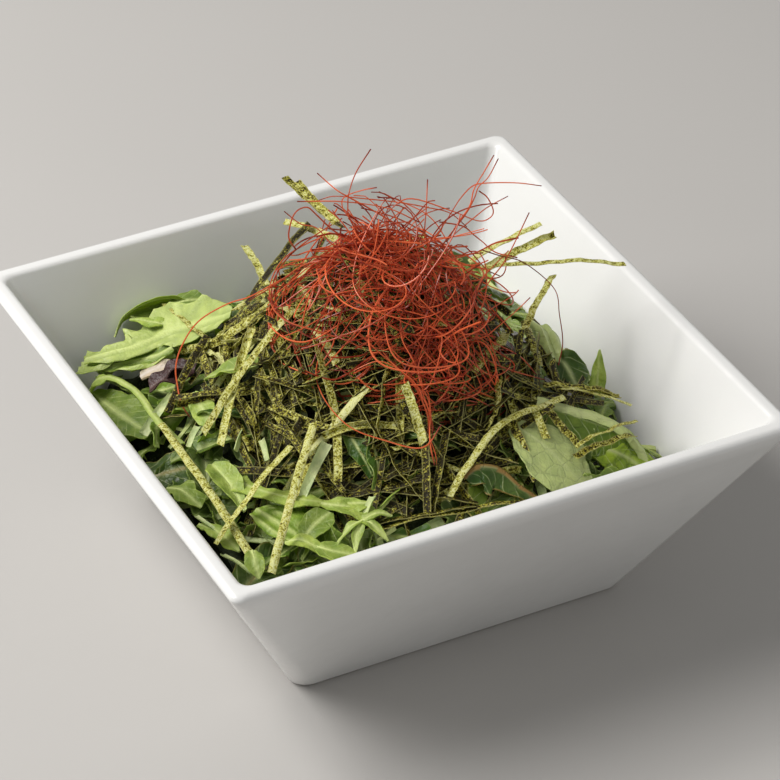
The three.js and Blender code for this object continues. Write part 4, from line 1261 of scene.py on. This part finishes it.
# tip is how dark the ends get, and plain the share on either side of the middle that stays light
def addThread(pile, draw, path, tone, tip, plain=0.38):
    t = np.linspace(0, 1, len(path))
    sides = chili["sides"]
    radii = chili["width"] / 2 * draw.uniform(0.75, 1.15) * (0.9 + 0.1 * np.sin(7 * t + draw.uniform(0, 6)))
    points, faces = tubeMesh(heldInside(path), radii, sides)
    ends = np.clip((np.abs(t - 0.5) - plain) / 0.12, 0, 1) * tip
    tones = np.clip(tone + 0.2 * wave(draw, t), 0, 1)
    addTo(pile, points, faces, tone=np.repeat(tones, sides), tip=np.repeat(ends, sides))


# how far a place is along the tangle's long side and across it, as shares of its reach
def inTangle(x, y):
    cos, sin = math.cos(chili["widest"]), math.sin(chili["widest"])
    nearX, nearY = x - chili["middle"][0], y - chili["middle"][1]
    return (nearX * cos + nearY * sin) / chili["reach"][0], (nearY * cos - nearX * sin) / chili["reach"][1]


def tangleLevel(x, y):
    along, across = inTangle(x, y)
    return noriLevel(x, y) + chili["height"] * np.clip(1 - along ** 2 - across ** 2, 0, 1)


# draws points that stray from the tangle back towards it
def gatheredIn(x, y):
    middle, start, soft = chili["middle"], chili["gather"], chili["gatherSoft"]
    out = np.hypot(*inTangle(x, y))
    keep = np.where(out > start, (start + soft * np.tanh((out - start) / soft)) / np.maximum(out, start), 1)
    return middle[0] + (x - middle[0]) * keep, middle[1] + (y - middle[1]) * keep


# threads that were cut side by side lie in loose bundles: alike at first, and each wanders off in its own way
def tangledBundle(draw):
    steps = chili["steps"]
    t = np.linspace(0, 1, steps)
    cos, sin = math.cos(chili["widest"]), math.sin(chili["widest"])
    along, across = (draw.gauss(0, spread) for spread in chili["spread"])
    knot = draw.choices(chili["knots"], [share for _, _, share in chili["knots"]])[0]
    middleX, middleY = knot[0] + along * cos - across * sin, knot[1] + along * sin + across * cos
    if draw.random() < chili["alongShare"]:
        heading = chili["widest"] + draw.gauss(0, 0.6)
    else:
        heading = draw.uniform(0, fullTurn)
    bend = draw.gauss(0, 0.05) + 0.07 * wave(draw, t)
    layer = draw.triangular(-6, 8, -2)
    spring = draw.uniform(0.25, 0.95)
    for _ in range(draw.randint(*chili["inBundle"])):
        length = draw.triangular(*chili["length"])
        ownBend = bend + draw.gauss(0, 0.012) + 0.030 * wave(draw, t)
        turn = heading + draw.gauss(0, 0.35) + np.cumsum(ownBend) * length / steps
        px = np.cumsum(np.cos(turn)) * length / steps
        py = np.cumsum(np.sin(turn)) * length / steps
        px, py = px - px.mean() + middleX + draw.gauss(0, 4), py - py.mean() + middleY + draw.gauss(0, 4)
        px, py = gatheredIn(px, py)
        lift = layer + draw.gauss(0, 1.6) + 1.6 * wave(draw, t)
        kind = draw.random()
        if kind < chili["hopShare"]:
            hop = np.clip((t - draw.uniform(0, 0.5)) / draw.uniform(0.35, 0.6), 0, 1)
            lift = lift + draw.uniform(3, 12) * np.sin(math.pi * hop) ** 2
        elif kind < chili["hopShare"] + chili["standShare"]:
            lift = lift + draw.uniform(2, 11) * (np.clip(t - 0.62, 0, 1) / 0.38) ** 1.3
        path = layOver(tangleLevel, px, py, spring, lift)
        behind = np.clip(inTangle(path[:, 0], path[:, 1])[1] * chili["reach"][1], 0, None)
        top = chili["top"] - chili["behindDrop"] * behind
        path[:, 2] = np.minimum(path[:, 2], top + 0.03 * (path[:, 2] - top))
        yield path


def makeChili():
    draw = random.Random(53)
    pile = newPile()
    for k, points in enumerate(shownThreads):
        look = (0, 0.9, 0) if k == chili["blackThread"] else (draw.uniform(0.3, 1), 1)
        addThread(pile, draw, smoothPath(points, chili["steps"] + 10), *look)
    for _ in range(chili["bundles"]):
        for path in tangledBundle(draw):
            tone = draw.choice((draw.uniform(*chili["darkTones"]), draw.uniform(*chili["lightTones"])))
            addThread(pile, draw, path, tone, draw.choice((0, 0, 1)))
    makePiece("chiliTangle", pile, makeChiliLook(), "chili_threads", 60)


makeChili()


studio = {
    "floor": (0.47, 0.455, 0.435),
    "floorSize": 6,             # metres, as all of the studio
    "clouded": 0.97,
    "aim": (0, 0, 0.06),
    # where each light stands, its size, power and colour
    "lights": {
        "key": ((-0.80, 0.40, 1.0), 0.78, 17.5, (1.0, 0.985, 0.97)),
        "spark": ((-0.55, 0.75, 1.15), 0.22, 4.5, (1.0, 0.98, 0.95)),
        "fill": ((1.3, -1.1, 0.8), 1.2, 3.4, (1.0, 0.97, 0.94)),
    },
    "sky": (0.985, 0.99, 0.985),
    "skyStrength": 0.32,
}


def addLight(name, place, size, power, color):
    data = bpy.data.lights.new(name, "AREA")
    data.energy = power
    data.size = size
    data.color = color
    light = bpy.data.objects.new(name, data)
    light.location = place
    light.rotation_euler = (Vector(studio["aim"]) - Vector(place)).to_track_quat("-Z", "Y").to_euler()
    bpy.context.scene.collection.objects.link(light)


def makeStudio():
    bpy.ops.mesh.primitive_plane_add(size=studio["floorSize"])
    floor = bpy.context.object
    floor.name = "paleFloor"
    material, tree, shader = newMaterial("paleTable")
    clouded = tuple(studio["clouded"] * c for c in studio["floor"])
    feed(tree, shader, {"Base Color": mixColor(tree, noiseOf(tree, 3, 3), studio["floor"], clouded),
                        "Roughness": 0.75})
    floor.data.materials.append(material)
    floor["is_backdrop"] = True
    for name, (place, size, power, color) in studio["lights"].items():
        addLight(name, place, size, power, color)
    world = bpy.data.worlds.new("softRoom")
    world.use_nodes = True
    sky = {"Color": studio["sky"], "Strength": studio["skyStrength"]}
    feed(world.node_tree, world.node_tree.nodes["Background"], sky)
    bpy.context.scene.world = world
    bpy.context.scene.view_settings.view_transform = "Standard"
    print("made the floor and the lights")


makeStudio()


def plain(box):
    return [[round(float(c), 5) for c in corner] for corner in box]


{"cad": plain(cadBox), "visual": plain(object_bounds())}
